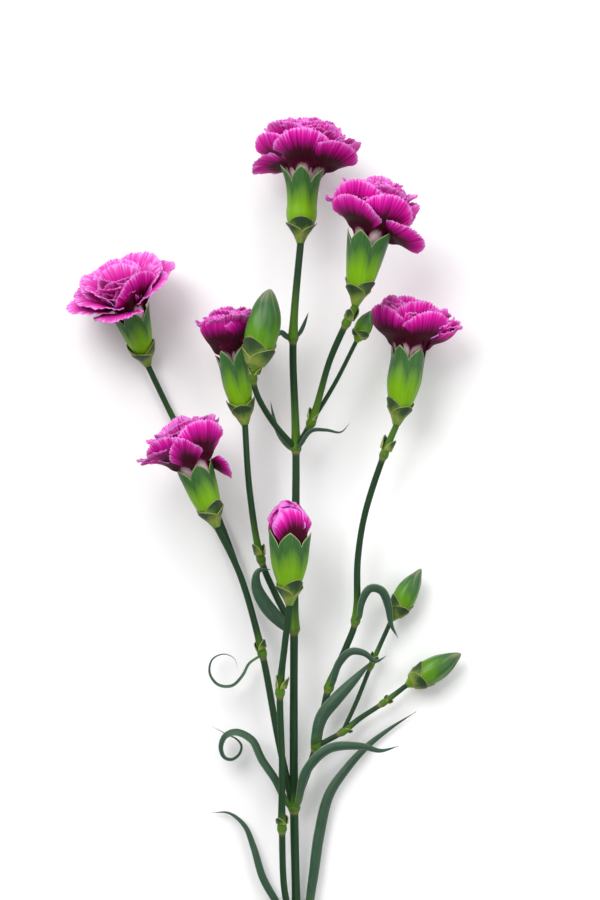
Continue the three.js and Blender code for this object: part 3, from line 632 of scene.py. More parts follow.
class Tree:
    """A small helper that adds nodes to a tree and joins them."""

    def __init__(self, tree):
        self.tree = tree

    def add(self, kind, inputs=(), **settings):
        node = self.tree.nodes.new(kind)
        for key, value in settings.items():
            setattr(node, key, value)
        for key, value in dict(inputs).items():
            socket = node.inputs[key]
            if isinstance(value, bpy.types.NodeSocket):
                self.tree.links.new(value, socket)
            else:
                socket.default_value = value
        return node

    def math(self, operation, a, b=0.0, c=0.0):
        kind = "ShaderNodeMath"
        return self.add(kind, {0: a, 1: b, 2: c}, operation=operation).outputs[0]

    def swayed(self, value, noise, reach):
        """A value moved to either side by a noise."""
        centred = self.math("SUBTRACT", noise, 0.5)
        return self.math("ADD", value, self.math("MULTIPLY", centred, reach))

    def vector(self, **axes):
        """A vector from its X, Y and Z; what isn't named is 0."""
        return self.add("ShaderNodeCombineXYZ", axes).outputs[0]

    def parts(self, vector):
        """A vector's X, Y and Z."""
        return self.add("ShaderNodeSeparateXYZ", {0: vector}).outputs

    def rotation(self, **angles):
        euler = self.vector(**angles)
        return self.add("FunctionNodeEulerToRotation", {"Euler": euler}).outputs[0]

    def named(self, name):
        """A named attribute of the geometry."""
        kind = "GeometryNodeInputNamedAttribute"
        return self.add(kind, {"Name": name}, data_type="FLOAT").outputs[0]

    def store(self, geometry, name, value, domain="POINT"):
        """The geometry with one more named attribute."""
        return self.add(
            "GeometryNodeStoreNamedAttribute", {"Geometry": geometry, "Name": name, "Value": value},
            data_type="FLOAT", domain=domain).outputs[0]


def geometry_tree(name, inputs):
    """An empty geometry tree with named inputs, and the helper and the input node for it."""
    group = bpy.data.node_groups.new(name, "GeometryNodeTree")
    group.interface.new_socket("Geometry", in_out="OUTPUT", socket_type="NodeSocketGeometry")
    for label, kind, default in (("Geometry", "Geometry", None), *inputs):
        socket = group.interface.new_socket(label, in_out="INPUT", socket_type="NodeSocket" + kind)
        if default is not None:
            socket.default_value = default
    tree = Tree(group)
    return tree, tree.add("NodeGroupInput").outputs


def finish_tree(tree, geometry, material):
    """Ends a tree in realized instances, smooth shading and one material."""
    real = tree.add("GeometryNodeRealizeInstances", {"Geometry": geometry}).outputs[0]
    smooth = tree.add("GeometryNodeSetShadeSmooth", {"Geometry": real}).outputs[0]
    done = tree.add("GeometryNodeSetMaterial", {"Geometry": smooth, "Material": material})
    tree.add("NodeGroupOutput", {"Geometry": done.outputs[0]})
    return tree.tree


def whorl_tree():
    """Sets a pattern on each point, turned round the axis and leaning out from it."""
    tree, given = geometry_tree("Whorl", (
        ("Patterns", "Collection", None), ("Lean jitter", "Float", 0.1),
        ("Turn jitter", "Float", 0.1), ("Size jitter", "Float", 0.05), ("Seed", "Int", 1),
        ("Material", "Material", None)))
    index = tree.add("GeometryNodeInputIndex").outputs[0]
    loose = tree.named("loose")

    def jitter(key, salt):
        """A random amount for each point, as far either way as the named input says."""
        chance = tree.add(
            "FunctionNodeRandomValue", {"ID": tree.math("ADD", index, salt), "Seed": given["Seed"]},
            data_type="FLOAT").outputs[1]
        centred = tree.math("MULTIPLY_ADD", chance, 2.0, -1.0)
        return tree.math("MULTIPLY", tree.math("MULTIPLY", centred, loose), given[key])

    turn = tree.math("ADD", tree.named("turn"), jitter("Turn jitter", 1000.0))
    lean = tree.math("ADD", tree.named("lean"), jitter("Lean jitter", 2000.0))
    grown = tree.math("ADD", 1.0, jitter("Size jitter", 3000.0))
    size = tree.math("MULTIPLY", tree.named("size"), grown)
    out = tree.math("MULTIPLY", tree.named("ring"), tree.math("COSINE", turn))
    left = tree.math("MULTIPLY", tree.math("SINE", turn), -1.0)
    side = tree.math("MULTIPLY", tree.named("ring"), left)
    place = tree.vector(X=side, Y=out, Z=tree.named("lift"))
    rotation = tree.rotation(X=tree.math("MULTIPLY", lean, -1.0), Z=turn)
    rotation = tree.add(
        "FunctionNodeRotateRotation",
        {"Rotation": rotation, "Rotate By": tree.rotation(Z=tree.named("roll"))},
        rotation_space="LOCAL").outputs[0]
    points = tree.add(
        "GeometryNodeSetPosition", {"Geometry": given["Geometry"], "Position": place}).outputs[0]
    patterns = tree.add(
        "GeometryNodeCollectionInfo",
        {"Collection": given["Patterns"], "Separate Children": True, "Reset Children": True})
    instances = tree.add("GeometryNodeInstanceOnPoints", {
        "Points": points, "Instance": patterns.outputs[0], "Pick Instance": True,
        "Instance Index": tree.named("pattern"), "Rotation": rotation,
        "Scale": tree.vector(X=size, Y=size, Z=size)}).outputs[0]
    tone = tree.add("FunctionNodeRandomValue", {"Seed": given["Seed"]}, data_type="FLOAT")
    toned = tree.store(instances, "tone", tone.outputs[1], "INSTANCE")
    return finish_tree(tree, toned, given["Material"])


def path_tree(name, level):
    """Sweeps a round or channelled section along a path, as wide as the path says."""
    tree, given = geometry_tree(name, (
        ("Sides", "Int", 16), ("Thickness", "Float", 1.0), ("Channel", "Float", 0.0),
        ("Material", "Material", None)))
    curve = tree.add("GeometryNodeMeshToCurve", {"Mesh": given["Geometry"]}).outputs[0]
    if level:
        curve = tree.add("GeometryNodeSetCurveNormal", {"Curve": curve}, mode="Z_UP").outputs[0]
    curve = tree.add(
        "GeometryNodeSetCurveTilt", {"Curve": curve, "Tilt": tree.named("turn")}).outputs[0]
    factor = tree.add("GeometryNodeSplineParameter").outputs["Factor"]
    circle = tree.add(
        "GeometryNodeCurvePrimitiveCircle", {"Resolution": given["Sides"], "Radius": 1.0})
    circle = tree.store(circle.outputs[0], "around", factor)
    parts = tree.parts(tree.add("GeometryNodeInputPosition").outputs[0])
    hollow = tree.math("MULTIPLY", tree.math("MULTIPLY", parts[0], parts[0]), given["Channel"])
    high = tree.math("ADD", tree.math("MULTIPLY", parts[1], given["Thickness"]), hollow)
    circle = tree.add(
        "GeometryNodeSetPosition",
        {"Geometry": circle, "Position": tree.vector(X=parts[0], Y=high)}).outputs[0]
    circle = tree.store(circle, "across", parts[0])
    swept = tree.add("GeometryNodeCurveToMesh", {
        "Curve": curve, "Profile Curve": circle, "Scale": tree.named("reach"), "Fill Caps": True})
    return finish_tree(tree, swept.outputs[0], given["Material"])


def grow(name, source, tree, values):
    """Runs a geometry tree on a source object and returns the finished plain mesh as an object."""
    bpy.context.collection.objects.link(source)
    modifier = source.modifiers.new("Grow", "NODES")
    modifier.node_group = tree
    items = tree.interface.items_tree
    sockets = {item.name: item.identifier for item in items if item.in_out == "INPUT"}
    for label, value in values.items():
        modifier[sockets[label]] = value
    graph = bpy.context.evaluated_depsgraph_get()
    graph.update()
    mesh = bpy.data.meshes.new_from_object(source.evaluated_get(graph), depsgraph=graph)
    source.modifiers.remove(modifier)
    shell = source.data
    bpy.data.objects.remove(source)
    bpy.data.meshes.remove(shell)
    if not len(mesh.polygons):
        raise RuntimeError(f"{name} came out empty")
    mesh.name = name
    return bpy.data.objects.new(name, mesh)


def settle(piece, material, slot, *nodes):
    """Puts a finished piece in the scene: its finish, its body and what it replaces. The slot is
    not used.
    """
    if material is not None:
        piece.data.materials.clear()
        piece.data.materials.append(material)
    if piece.name not in bpy.context.collection.objects:
        bpy.context.collection.objects.link(piece)
    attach(piece, "root")
    if nodes:
        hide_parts(*nodes)


# Finishes -----------------------------------------------------------------------------------


class Finish(Tree):
    """A material under construction: a shader with the nodes that paint it."""

    def __init__(self, name, roughness, **shader):
        self.material = bpy.data.materials.new(name)
        self.material.use_nodes = True
        super().__init__(self.material.node_tree)
        self.shader = self.tree.nodes["Principled BSDF"]
        self.shader.inputs["Roughness"].default_value = roughness
        for key, value in shader.items():
            self.shader.inputs[key.replace("_", " ")].default_value = value

    def join(self, source, key):
        self.tree.links.new(source, self.shader.inputs[key])

    def uv(self):
        return self.add("ShaderNodeUVMap", uv_map="UVMap").outputs[0]

    def place(self):
        return self.add("ShaderNodeTexCoord").outputs["Object"]

    def attribute(self, name):
        return self.add("ShaderNodeAttribute", attribute_name=name).outputs["Fac"]

    def noise(self, place, stretch, scale=1.0, detail=2.0, shift=None):
        mapping = self.add("ShaderNodeMapping", {"Vector": place, "Scale": stretch})
        if shift is not None:
            self.tree.links.new(self.vector(X=shift, Z=shift), mapping.inputs["Location"])
        return self.add(
            "ShaderNodeTexNoise", {"Vector": mapping.outputs[0], "Scale": scale, "Detail": detail}
        ).outputs["Fac"]

    def ramp(self, value, stops):
        node = self.add("ShaderNodeValToRGB", {"Fac": value})
        points = node.color_ramp.elements
        while len(points) > 1:
            points.remove(points[-1])
        for i, (place, colour) in enumerate(stops):
            point = points[0] if i == 0 else points.new(place)
            point.position = place
            point.color = (*colour[:3], 1)
        return node.outputs[0]

    def mix(self, share, a, b, blend="MIX"):
        node = self.add("ShaderNodeMix", data_type="RGBA", blend_type=blend)
        for socket, value in ((node.inputs[0], share), (node.inputs[6], a), (node.inputs[7], b)):
            if isinstance(value, bpy.types.NodeSocket):
                self.tree.links.new(value, socket)
            else:
                socket.default_value = value if isinstance(value, float) else (*value[:3], 1)
        return node.outputs[2]

    def bump(self, height, strength, distance):
        node = self.add(
            "ShaderNodeBump", {"Height": height, "Strength": strength, "Distance": distance})
        self.join(node.outputs[0], "Normal")


BLACK, WHITE = (0, 0, 0), (1, 1, 1)
CONTRAST = ((0.3, BLACK), (0.7, WHITE))  # spreads a noise from none to all


def shade(colour, factor):
    """A colour made darker or lighter."""
    return tuple(min(1.0, c * factor) for c in colour[:3])


def blend(a, b, share):
    """A colour on the way from one to another."""
    return tuple(x * (1 - share) + y * share for x, y in zip(a[:3], b[:3]))


def petal_finish(colours):
    """Streaked petals: pale claw, a wine-red blotch that is partly painted shade, magenta, and a
    pale lilac rim.
    """
    paint = Finish("petal_streaks", 0.6, Specular_IOR_Level=0.12, Subsurface_Weight=0.1,
                   Subsurface_Scale=1.0 * MM)
    place = paint.uv()
    parts = paint.parts(place)
    tone, side = paint.attribute("tone"), paint.attribute("side")
    shift = paint.math("MULTIPLY", tone, 37.0)
    streaks = paint.noise(place, (22, 0.8, 1), shift=shift)
    fine = paint.noise(place, (64, 1.2, 1), shift=shift)
    aside = paint.math("SUBTRACT", parts[0], 0.5)
    wide = paint.math("MULTIPLY", paint.math("MULTIPLY", aside, aside), 0.5)
    ragged = paint.math("MULTIPLY", paint.math("SUBTRACT", streaks, 0.5), 0.2)
    ragged = paint.swayed(ragged, fine, 0.5)
    ragged = paint.math("MULTIPLY", ragged, paint.math("MULTIPLY_ADD", parts[1], 1.3, -0.2))
    height = paint.math("ADD", paint.math("ADD", parts[1], wide), ragged)
    rim, petal, wine, claw = colours.rim, colours.petal, colours.wine, colours.claw
    # The wine-red band low on the backs is partly the petals' own deeper colour and partly painted
    # shade.
    back = paint.ramp(height, (
        (0.0, claw), (0.2, claw), (0.26, blend(claw, wine, 0.5)), (0.3, shade(wine, 1.8)),
        (0.35, wine), (0.6, shade(wine, 1.2)), (0.74, blend(wine, petal, 0.5)),
        (0.84, petal), (0.9, blend(petal, rim, 0.14)), (0.97, blend(petal, rim, 0.6)),
        (1.0, blend(petal, rim, 0.85))))
    # Painted shade: the inner faces are painted darker than the backs all the way up, darkest
    # towards the claw, for the shade in the flower's hollow.
    front = paint.ramp(height, (
        (0.0, shade(claw, 0.8)), (0.3, shade(petal, 0.2)), (0.5, shade(petal, 0.5)),
        (0.68, shade(petal, 0.66)), (0.84, shade(blend(petal, rim, 0.12), 0.84)),
        (0.94, shade(blend(petal, rim, 0.4), 0.88)), (1.0, shade(rim, 0.96))))
    colour = paint.mix(side, front, back)
    deep = paint.math("MULTIPLY_ADD", tone, 0.3, 0.84)
    value = paint.add("ShaderNodeHueSaturation", {"Color": colour, "Value": deep})
    paint.join(value.outputs[0], "Base Color")
    paint.bump(paint.math("ADD", fine, streaks), 0.6, 0.35 * MM)
    return paint.material


def calyx_finish(colours):
    """Smooth waxy calyx: yellow-green below, blue-green teeth, thin pale edges."""
    paint = Finish("calyx_wax", 0.4, Specular_IOR_Level=0.22)
    place = paint.uv()
    parts = paint.parts(place)
    veins = paint.noise(place, (58, 1.0, 1))
    broad = paint.noise(place, (16, 0.9, 1))
    clouds = paint.noise(place, (7, 3.0, 1))
    height = paint.swayed(paint.swayed(parts[1], veins, 0.35), broad, 0.4)
    low, high = colours.calyx_low, colours.calyx_high
    colour = paint.ramp(height, (
        (0.1, shade(low, 1.1)), (0.45, low), (0.6, blend(low, high, 0.5)),
        (0.74, shade(high, 0.82)), (0.86, shade(high, 0.9)), (1.0, high)))
    lines = paint.ramp(veins, ((0.3, (0.5, 0.56, 0.5)), (0.52, WHITE), (0.72, (1.0, 1.0, 0.9))))
    lined = paint.ramp(parts[1], ((0.3, (0.25,) * 3), (0.75, (0.95,) * 3)))
    colour = paint.mix(lined, colour, paint.mix(1.0, colour, lines, "MULTIPLY"))
    colour = paint.mix(paint.math("MULTIPLY", clouds, 0.22), colour, shade(high, 0.6))
    edge = paint.math("SUBTRACT", 1.0, paint.math("MULTIPLY", paint.attribute("rim"), 1.5))
    edge = paint.add("ShaderNodeClamp", {"Value": edge}).outputs[0]
    colour = paint.mix(paint.math("MULTIPLY", edge, 0.85), colour, srgb(172, 178, 132))
    paint.join(colour, "Base Color")
    paint.join(paint.math("MULTIPLY_ADD", clouds, 0.25, 0.28), "Roughness")
    paint.bump(veins, 0.45, 0.3 * MM)
    return paint.material


def bract_finish(colours):
    """Bracts: yellowish below, dark blue-green points and pale thin edges."""
    paint = Finish("bract_green", 0.46, Specular_IOR_Level=0.22)
    place = paint.uv()
    parts = paint.parts(place)
    veins = paint.noise(place, (26, 1.2, 1))
    clouds = paint.noise(paint.place(), (1, 1, 1), 300.0)
    middle = paint.math("ABSOLUTE", paint.math("SUBTRACT", parts[0], 0.5))
    height = paint.swayed(paint.swayed(parts[1], veins, 0.3), clouds, 0.4)
    height = paint.math("SUBTRACT", height, paint.math("MULTIPLY", middle, 0.75))
    green = colours.bract
    colour = paint.ramp(height, (
        (0.0, srgb(104, 138, 50)), (0.2, srgb(134, 142, 62)), (0.36, srgb(104, 130, 52)),
        (0.55, green), (0.8, shade(green, 0.62))))
    edge = paint.math("SUBTRACT", 1.0, paint.attribute("rim"))
    colour = paint.mix(paint.math("MULTIPLY", edge, 0.75), colour, srgb(162, 168, 104))
    paint.join(colour, "Base Color")
    paint.bump(veins, 0.4, 0.25 * MM)
    return paint.material


def bud_finish(colours):
    """Closed buds: bright green windows, blue-green points, pale lines where the sepals meet."""
    paint = Finish("bud_wax", 0.34, Specular_IOR_Level=0.3)
    place = paint.uv()
    parts = paint.parts(place)
    veins = paint.noise(place, (54, 0.9, 1))
    clouds = paint.noise(place, (7, 2.6, 1), 1.0, 3.0)
    height = paint.swayed(paint.swayed(parts[1], veins, 0.3), clouds, 0.5)
    colour = paint.ramp(height, (
        (0.2, srgb(104, 146, 12)), (0.45, srgb(82, 136, 22)), (0.62, srgb(60, 108, 36)),
        (0.82, srgb(52, 92, 50)), (0.97, srgb(112, 118, 92))))
    lines = paint.ramp(veins, ((0.3, (0.55, 0.62, 0.55)), (0.52, WHITE)))
    colour = paint.mix(0.7, colour, paint.mix(1.0, colour, lines, "MULTIPLY"))
    seam = paint.math("SUBTRACT", 1.0, paint.attribute("seam"))
    colour = paint.mix(paint.math("MULTIPLY", seam, 0.3), colour, srgb(160, 180, 120))
    paint.join(colour, "Base Color")
    paint.join(paint.math("MULTIPLY_ADD", clouds, 0.25, 0.22), "Roughness")
    paint.bump(paint.math("ADD", veins, clouds), 0.4, 0.3 * MM)
    return paint.material


def stem_finish(colours):
    """Stems: bloomed blue-green with fine ribs, fresh green in the sheath above each joint."""
    paint = Finish("stem_bloom", 0.46, Specular_IOR_Level=0.2)
    turn = paint.math("MULTIPLY", paint.attribute("around"), 6.2832)
    rolled = paint.vector(
        X=paint.math("SINE", turn), Y=paint.math("COSINE", turn),
        Z=paint.math("MULTIPLY", paint.attribute("along"), 0.01))
    ribs = paint.noise(rolled, (1, 1, 1), 3.4, 3.0)
    bloom = paint.noise(paint.place(), (1, 0.3, 1), 150.0, 3.0)
    tone = paint.ramp(ribs, CONTRAST)
    dark = paint.mix(tone, shade(colours.stem, 0.6), shade(colours.stem, 1.35))
    dusted = paint.mix(paint.math("MULTIPLY", bloom, 0.2), dark, srgb(70, 106, 78))
    fresh = paint.mix(tone, shade(colours.joint, 0.7), shade(colours.joint, 1.2))
    colour = paint.mix(paint.attribute("fresh"), dusted, fresh)
    colour = paint.mix(paint.attribute("ringed"), colour, srgb(158, 160, 92))
    paint.join(colour, "Base Color")
    paint.join(paint.math("MULTIPLY_ADD", bloom, 0.25, 0.32), "Roughness")
    paint.bump(ribs, 0.7, 0.4 * MM)
    return paint.material


def leaf_finish(colours):
    """Leaves: grey-green bloom, fine lengthwise veins, painted shade down the channel, a pale edge
    and a dry brown tip.
    """
    paint = Finish("leaf_bloom", 0.42, Specular_IOR_Level=0.4)
    across, along = paint.attribute("across"), paint.attribute("along")
    place = paint.vector(
        X=paint.math("MULTIPLY", across, 5.0), Y=paint.math("MULTIPLY", along, 0.02))
    veins = paint.noise(place, (1, 1, 1), 2.4, 3.0)
    spots = paint.noise(paint.place(), (1, 1, 1), 420.0, 3.0)
    dark, light = shade(colours.leaf, 0.6), shade(colours.leaf, 1.35)
    colour = paint.mix(paint.ramp(veins, CONTRAST), dark, light)
    colour = paint.mix(paint.math("MULTIPLY", spots, 0.26), colour, srgb(90, 124, 104))
    aside = paint.math("ABSOLUTE", across)
    # Painted shade: a dark line down the middle of the blade stands in for the shade in the leaf's
    # channel.
    painted_groove_shade = paint.ramp(aside, ((0.02, (0.4,) * 3), (0.12, BLACK)))
    colour = paint.mix(painted_groove_shade, colour, shade(colours.leaf, 0.45))
    edge = paint.ramp(aside, ((0.86, BLACK), (0.97, (0.4,) * 3)))
    colour = paint.mix(edge, colour, srgb(150, 168, 140))
    share = paint.attribute("share")
    foot = paint.add("ShaderNodeMapRange", {0: share, 1: 0.0, 2: 0.16, 3: 0.75, 4: 0.0}).outputs[0]
    colour = paint.mix(foot, colour, colours.joint)
    tip = paint.add("ShaderNodeMapRange", {0: share, 1: 0.94, 2: 1.0, 3: 0.0, 4: 0.7}).outputs[0]
    colour = paint.mix(tip, colour, srgb(88, 76, 58))
    paint.join(colour, "Base Color")
    paint.join(paint.math("MULTIPLY_ADD", spots, 0.3, 0.28), "Roughness")
    paint.bump(veins, 0.5, 0.3 * MM)
    return paint.material


def floor_finish(colours):
    """A plain pale floor with hardly any grain."""
    paint = Finish("pale_floor", 0.85, Specular_IOR_Level=0.2)
    grain = paint.noise(paint.place(), (1, 1, 1), 90.0)
    floor = colours.floor
    paint.join(paint.mix(grain, shade(floor, 0.985), shade(floor, 1.01)), "Base Color")
    return paint.material


def finish(name, make):
    """The named finish, made once."""
    return bpy.data.materials.get(name) or make(bpy.context.scene.carnation_colours)


# Operators ----------------------------------------------------------------------------------


# Jitters of lean and turn, in radians, and of size.
BRACT_JITTERS, SCALE_JITTERS = (0.02, 0.2, 0.0), (0.08, 0.2, 0.15)
PLACED = 0.25  # the share of the jitters that a petal placed on its own gets


def whorl_points(name, whorls, patterns, seed):
    """One point for each petal, with its turn, lean, ring, lift, size and pattern."""
    rng = np.random.default_rng(seed)
    rows = []
    for kind, count, first, step, lean, ring, lift, size, roll in whorls:
        for i in range(count):
            rows.append((math.radians(first + step * i), math.radians(lean), ring * MM, lift * MM,
                         size, math.radians(roll), rng.choice(patterns[kind]),
                         PLACED if count == 1 else 1))
    turn, lean, ring, lift, size, roll, pattern, loose = np.array(rows).T
    return mesh_object(name, np.zeros((len(rows), 3)), [], turn=turn, lean=lean, ring=ring,
                       lift=lift, size=size, roll=roll, pattern=pattern, loose=loose)


def pattern_collection(name, objects):
    """A collection of patterns, which a whorl picks from in the order of their names."""
    collection = bpy.data.collections.new(name)
    for item in objects:
        collection.objects.link(item)
    return collection


def drop_collection(collection):
    """Removes a collection of patterns with all that it holds."""
    for item in list(collection.objects):
        mesh = item.data
        bpy.data.objects.remove(item)
        bpy.data.meshes.remove(mesh)
    bpy.data.collections.remove(collection)


def grow_whorl(name, source, tree, patterns, jitters, seed, material):
    """Grows a pattern on each point of a source. The jitters are of lean, turn and size."""
    lean, turn, size = jitters
    return grow(name, source, tree, {
        "Patterns": patterns, "Lean jitter": lean, "Turn jitter": turn, "Size jitter": size,
        "Seed": seed, "Material": material})


def grow_pairs(name, tree, patterns, pairs, jitters, seed, material):
    """Grows opposite pairs. Each pair is the number of its pattern and its first angle."""
    collection = pattern_collection("pair_patterns", patterns)
    whorls = [(number, 2, first, 180, 0, 0, 0, 1, 0) for number, first in pairs]
    source = whorl_points("pairs", whorls, {number: [number] for number, _ in pairs}, seed)
    piece = grow_whorl(name, source, tree, collection, jitters, seed, material)
    drop_collection(collection)
    return piece


class CARNATION_OT_petals(bpy.types.Operator):
    """Grow the petals of every flower and of the pink bud"""

    bl_idname = "carnation.petals"
    bl_label = "Petals"

    def execute(self, context):
        sizes = context.scene.carnation_sizes
        objects, numbers = [], {}
        for kind, pattern in PATTERNS.items():
            numbers[kind] = []
            for k in range(pattern[-1]):
                numbers[kind].append(len(objects))
                objects.append(petal_pattern(
                    f"pattern_{len(objects):02d}", pattern, 100 * len(numbers) + k,
                    sizes.petal_thickness, sizes.petal_teeth / MM))
        collection = pattern_collection("petal_patterns", objects)
        tree = whorl_tree()
        material = finish("petal_streaks", petal_finish)
        jitters = (sizes.lean_jitter, math.radians(7), sizes.size_jitter)
        for group, whorls_of, slot in (("outer", OUTER, "petal"), ("inner", INNER, "petal_pale")):
            for i, (flower, whorls) in enumerate(whorls_of.items()):
                base, tips = CALYCES[flower][:2]
                source = whorl_points("whorl", whorls, numbers, 10 * sizes.seed + i)
                simple = flower in ("cup_flower", "pink_bud")
                name = f"{flower}_{'furled' if simple else group}_whorl"
                piece = grow_whorl(
                    name, source, tree, collection, jitters, sizes.seed + i, material)
                lift = Matrix.Translation((0, 0, (axis_length(base, tips) - PETALS_SUNK) * MM))
                piece.data.transform(axis_frame(base, tips) @ lift)
                node = f"{flower}_petals" if simple else f"{flower}_{group}_petals"
                settle(piece, None, "petal" if simple else slot, node)
        drop_collection(collection)
        return {"FINISHED"}


class CARNATION_OT_calyces(bpy.types.Operator):
    """Grow the calyx of every flower and of the pink bud"""

    bl_idname = "carnation.calyces"
    bl_label = "Calyces"

    def execute(self, context):
        sizes = context.scene.carnation_sizes
        material = finish("calyx_wax", calyx_finish)
        wall, tooth = sizes.calyx_wall / MM, sizes.sepal_tooth / MM
        for i, (flower, (base, tips, radii, flare, facing)) in enumerate(CALYCES.items()):
            length = axis_length(base, tips)
            piece = self.calyx(flower, length, radii, flare, facing, wall, tooth, i)
            piece.data.transform(axis_frame(base, tips))
            settle(piece, material, "calyx", f"{flower}_calyx")
        return {"FINISHED"}

    @staticmethod
    def calyx(flower, length, radii, flare, facing, wall, tooth, seed):
        """A tube of five joined sepals with free pointed teeth."""
        rng = np.random.default_rng(seed)
        columns, foot = 80, 3
        first = 90 - 180 / SEPALS  # sets the middle of one tooth to face up
        turn = np.arange(columns) / columns * FULL_TURN + np.radians(first + facing)
        which = np.arange(columns) * SEPALS // columns
        within = (np.arange(columns) * SEPALS / columns) % 1
        tall = rng.uniform(0.82, 1.12, SEPALS)[which]
        lean = rng.uniform(-0.5, 1.3, SEPALS)[which]
        point = 1 - np.abs(within * 2 - 1)
        notch = length - tooth
        edge = notch + tooth * tall * point**0.66
        outline = calyx_outline(length, radii, flare, tooth)

        def ring(share, inset):
            """One ring of points, and their heights, at a share of the way to the teeth."""
            s = foot + (edge - foot) * share
            rise = np.clip((s - notch * 0.55) / (length - notch * 0.55), 0, 1)
            keel = 0.3 * rise * np.cos((within - 0.5) * FULL_TURN)
            radius = eased(*outline, s) - inset + keel
            radius = radius + lean * rise**4 * point + 0.05 * np.sin(turn * 13 + share * 5)
            return np.stack([radius * np.cos(turn), radius * np.sin(turn), s], 1), s

        rings = [ring(share, 0) for share in np.linspace(0, 1, 30)]
        rings.append(ring(0.997, wall * 0.6))
        rings += [ring(share, wall) for share in (0.96, 0.9, 0.8, 0.66)]
        heights = np.array([s for _, s in rings])
        rim = np.clip((edge[None, :] - heights) / 1.2, 0, 1)
        along = heights.mean(1) / length
        return closed_tube(f"{flower}_sepals", [r for r, _ in rings], along, rim=rim)


FULL_BUD = 6.6  # radius in millimetres of a bud with bracts as large as an open flower's


class CARNATION_OT_bracts(bpy.types.Operator):
    """Set two pairs of bracts round the foot of every calyx and bud"""

    bl_idname = "carnation.bracts"
    bl_label = "Bracts"

    def execute(self, context):
        sizes = context.scene.carnation_sizes
        material = finish("bract_green", bract_finish)
        reach, tooth = sizes.bract_length / MM, sizes.sepal_tooth / MM
        holders = []
        for name, (base, tips, radii, flare, _) in CALYCES.items():
            outline = calyx_outline(axis_length(base, tips), radii, flare, tooth)
            holders.append((name, base, tips, outline, 1.0, reach))
        for name, (base, point, radius, blunt) in BUDS.items():
            length = axis_length(base, point)
            outline = bud_outline(length, radius, blunt)
            holders.append((name, base, point, outline, radius / FULL_BUD, length * 0.4))
        tree = whorl_tree()
        for i, (name, base, end, outline, size, high) in enumerate(holders):
            low_bract = bract_pattern(
                "bract_0", -0.4 * size, high * 0.74, 98, outline, 0.6 * size, size, i)
            high_bract = bract_pattern(
                "bract_1", 0.4 * size, high, 90, outline, 0.2 * size, size, 50 + i)
            first = BRACT_TURNS[name]
            piece = grow_pairs(
                f"{name}_bract_pairs", tree, (low_bract, high_bract),
                ((1, first), (0, first + 90)), BRACT_JITTERS, i, material)
            piece.data.transform(axis_frame(base, end))
            settle(piece, None, "bract", f"{name}_bracts")
        return {"FINISHED"}


class CARNATION_OT_buds(bpy.types.Operator):
    """Grow the closed buds"""

    bl_idname = "carnation.buds"
    bl_label = "Buds"

    def execute(self, context):
        material = finish("bud_wax", bud_finish)
        for i, (name, (base, point, radius, blunt)) in enumerate(BUDS.items()):
            length = axis_length(base, point)
            columns = 100
            share = np.linspace(0.01, 1, 44)
            turn = np.arange(columns) / columns * FULL_TURN
            twist = turn[None, :] + 0.5 * smoothstep((share[:, None] - 0.6) / 0.4)
            apart = np.abs(((twist * SEPALS / FULL_TURN + 0.31 * i) % 1) - 0.5) * 2
            outline = eased(*bud_outline(length, radius, blunt), share * length)[:, None]
            ridge = 0.05 * smoothstep((share - 0.35) / 0.3)[:, None]
            radii = outline * (1 + ridge * np.cos(np.pi * apart))
            rings = np.stack([
                radii * np.cos(turn), radii * np.sin(turn),
                np.broadcast_to(share[:, None] * length, radii.shape)], 2)
            away = (1 - apart) * outline * np.pi / SEPALS
            parted = smoothstep((share[:, None] - 0.58) / 0.2)
            seam = 1 - np.clip(1 - away / 0.5, 0, 1) * parted
            piece = closed_tube(f"{name}_closed", rings, share, seam=seam)
            piece.data.transform(axis_frame(base, point))
            settle(piece, material, "bud", name)
        return {"FINISHED"}


# In millimetres: how far a stem runs on into what it bears, the steps of its path, and how far
# below and above a joint it swells.
STEM_SUNK, STEM_STEP = 3.5, 1.0
JOINT_BELOW, JOINT_ABOVE = 2.6, 4.5
STEM_SIDES, LEAF_SIDES = 18, 24


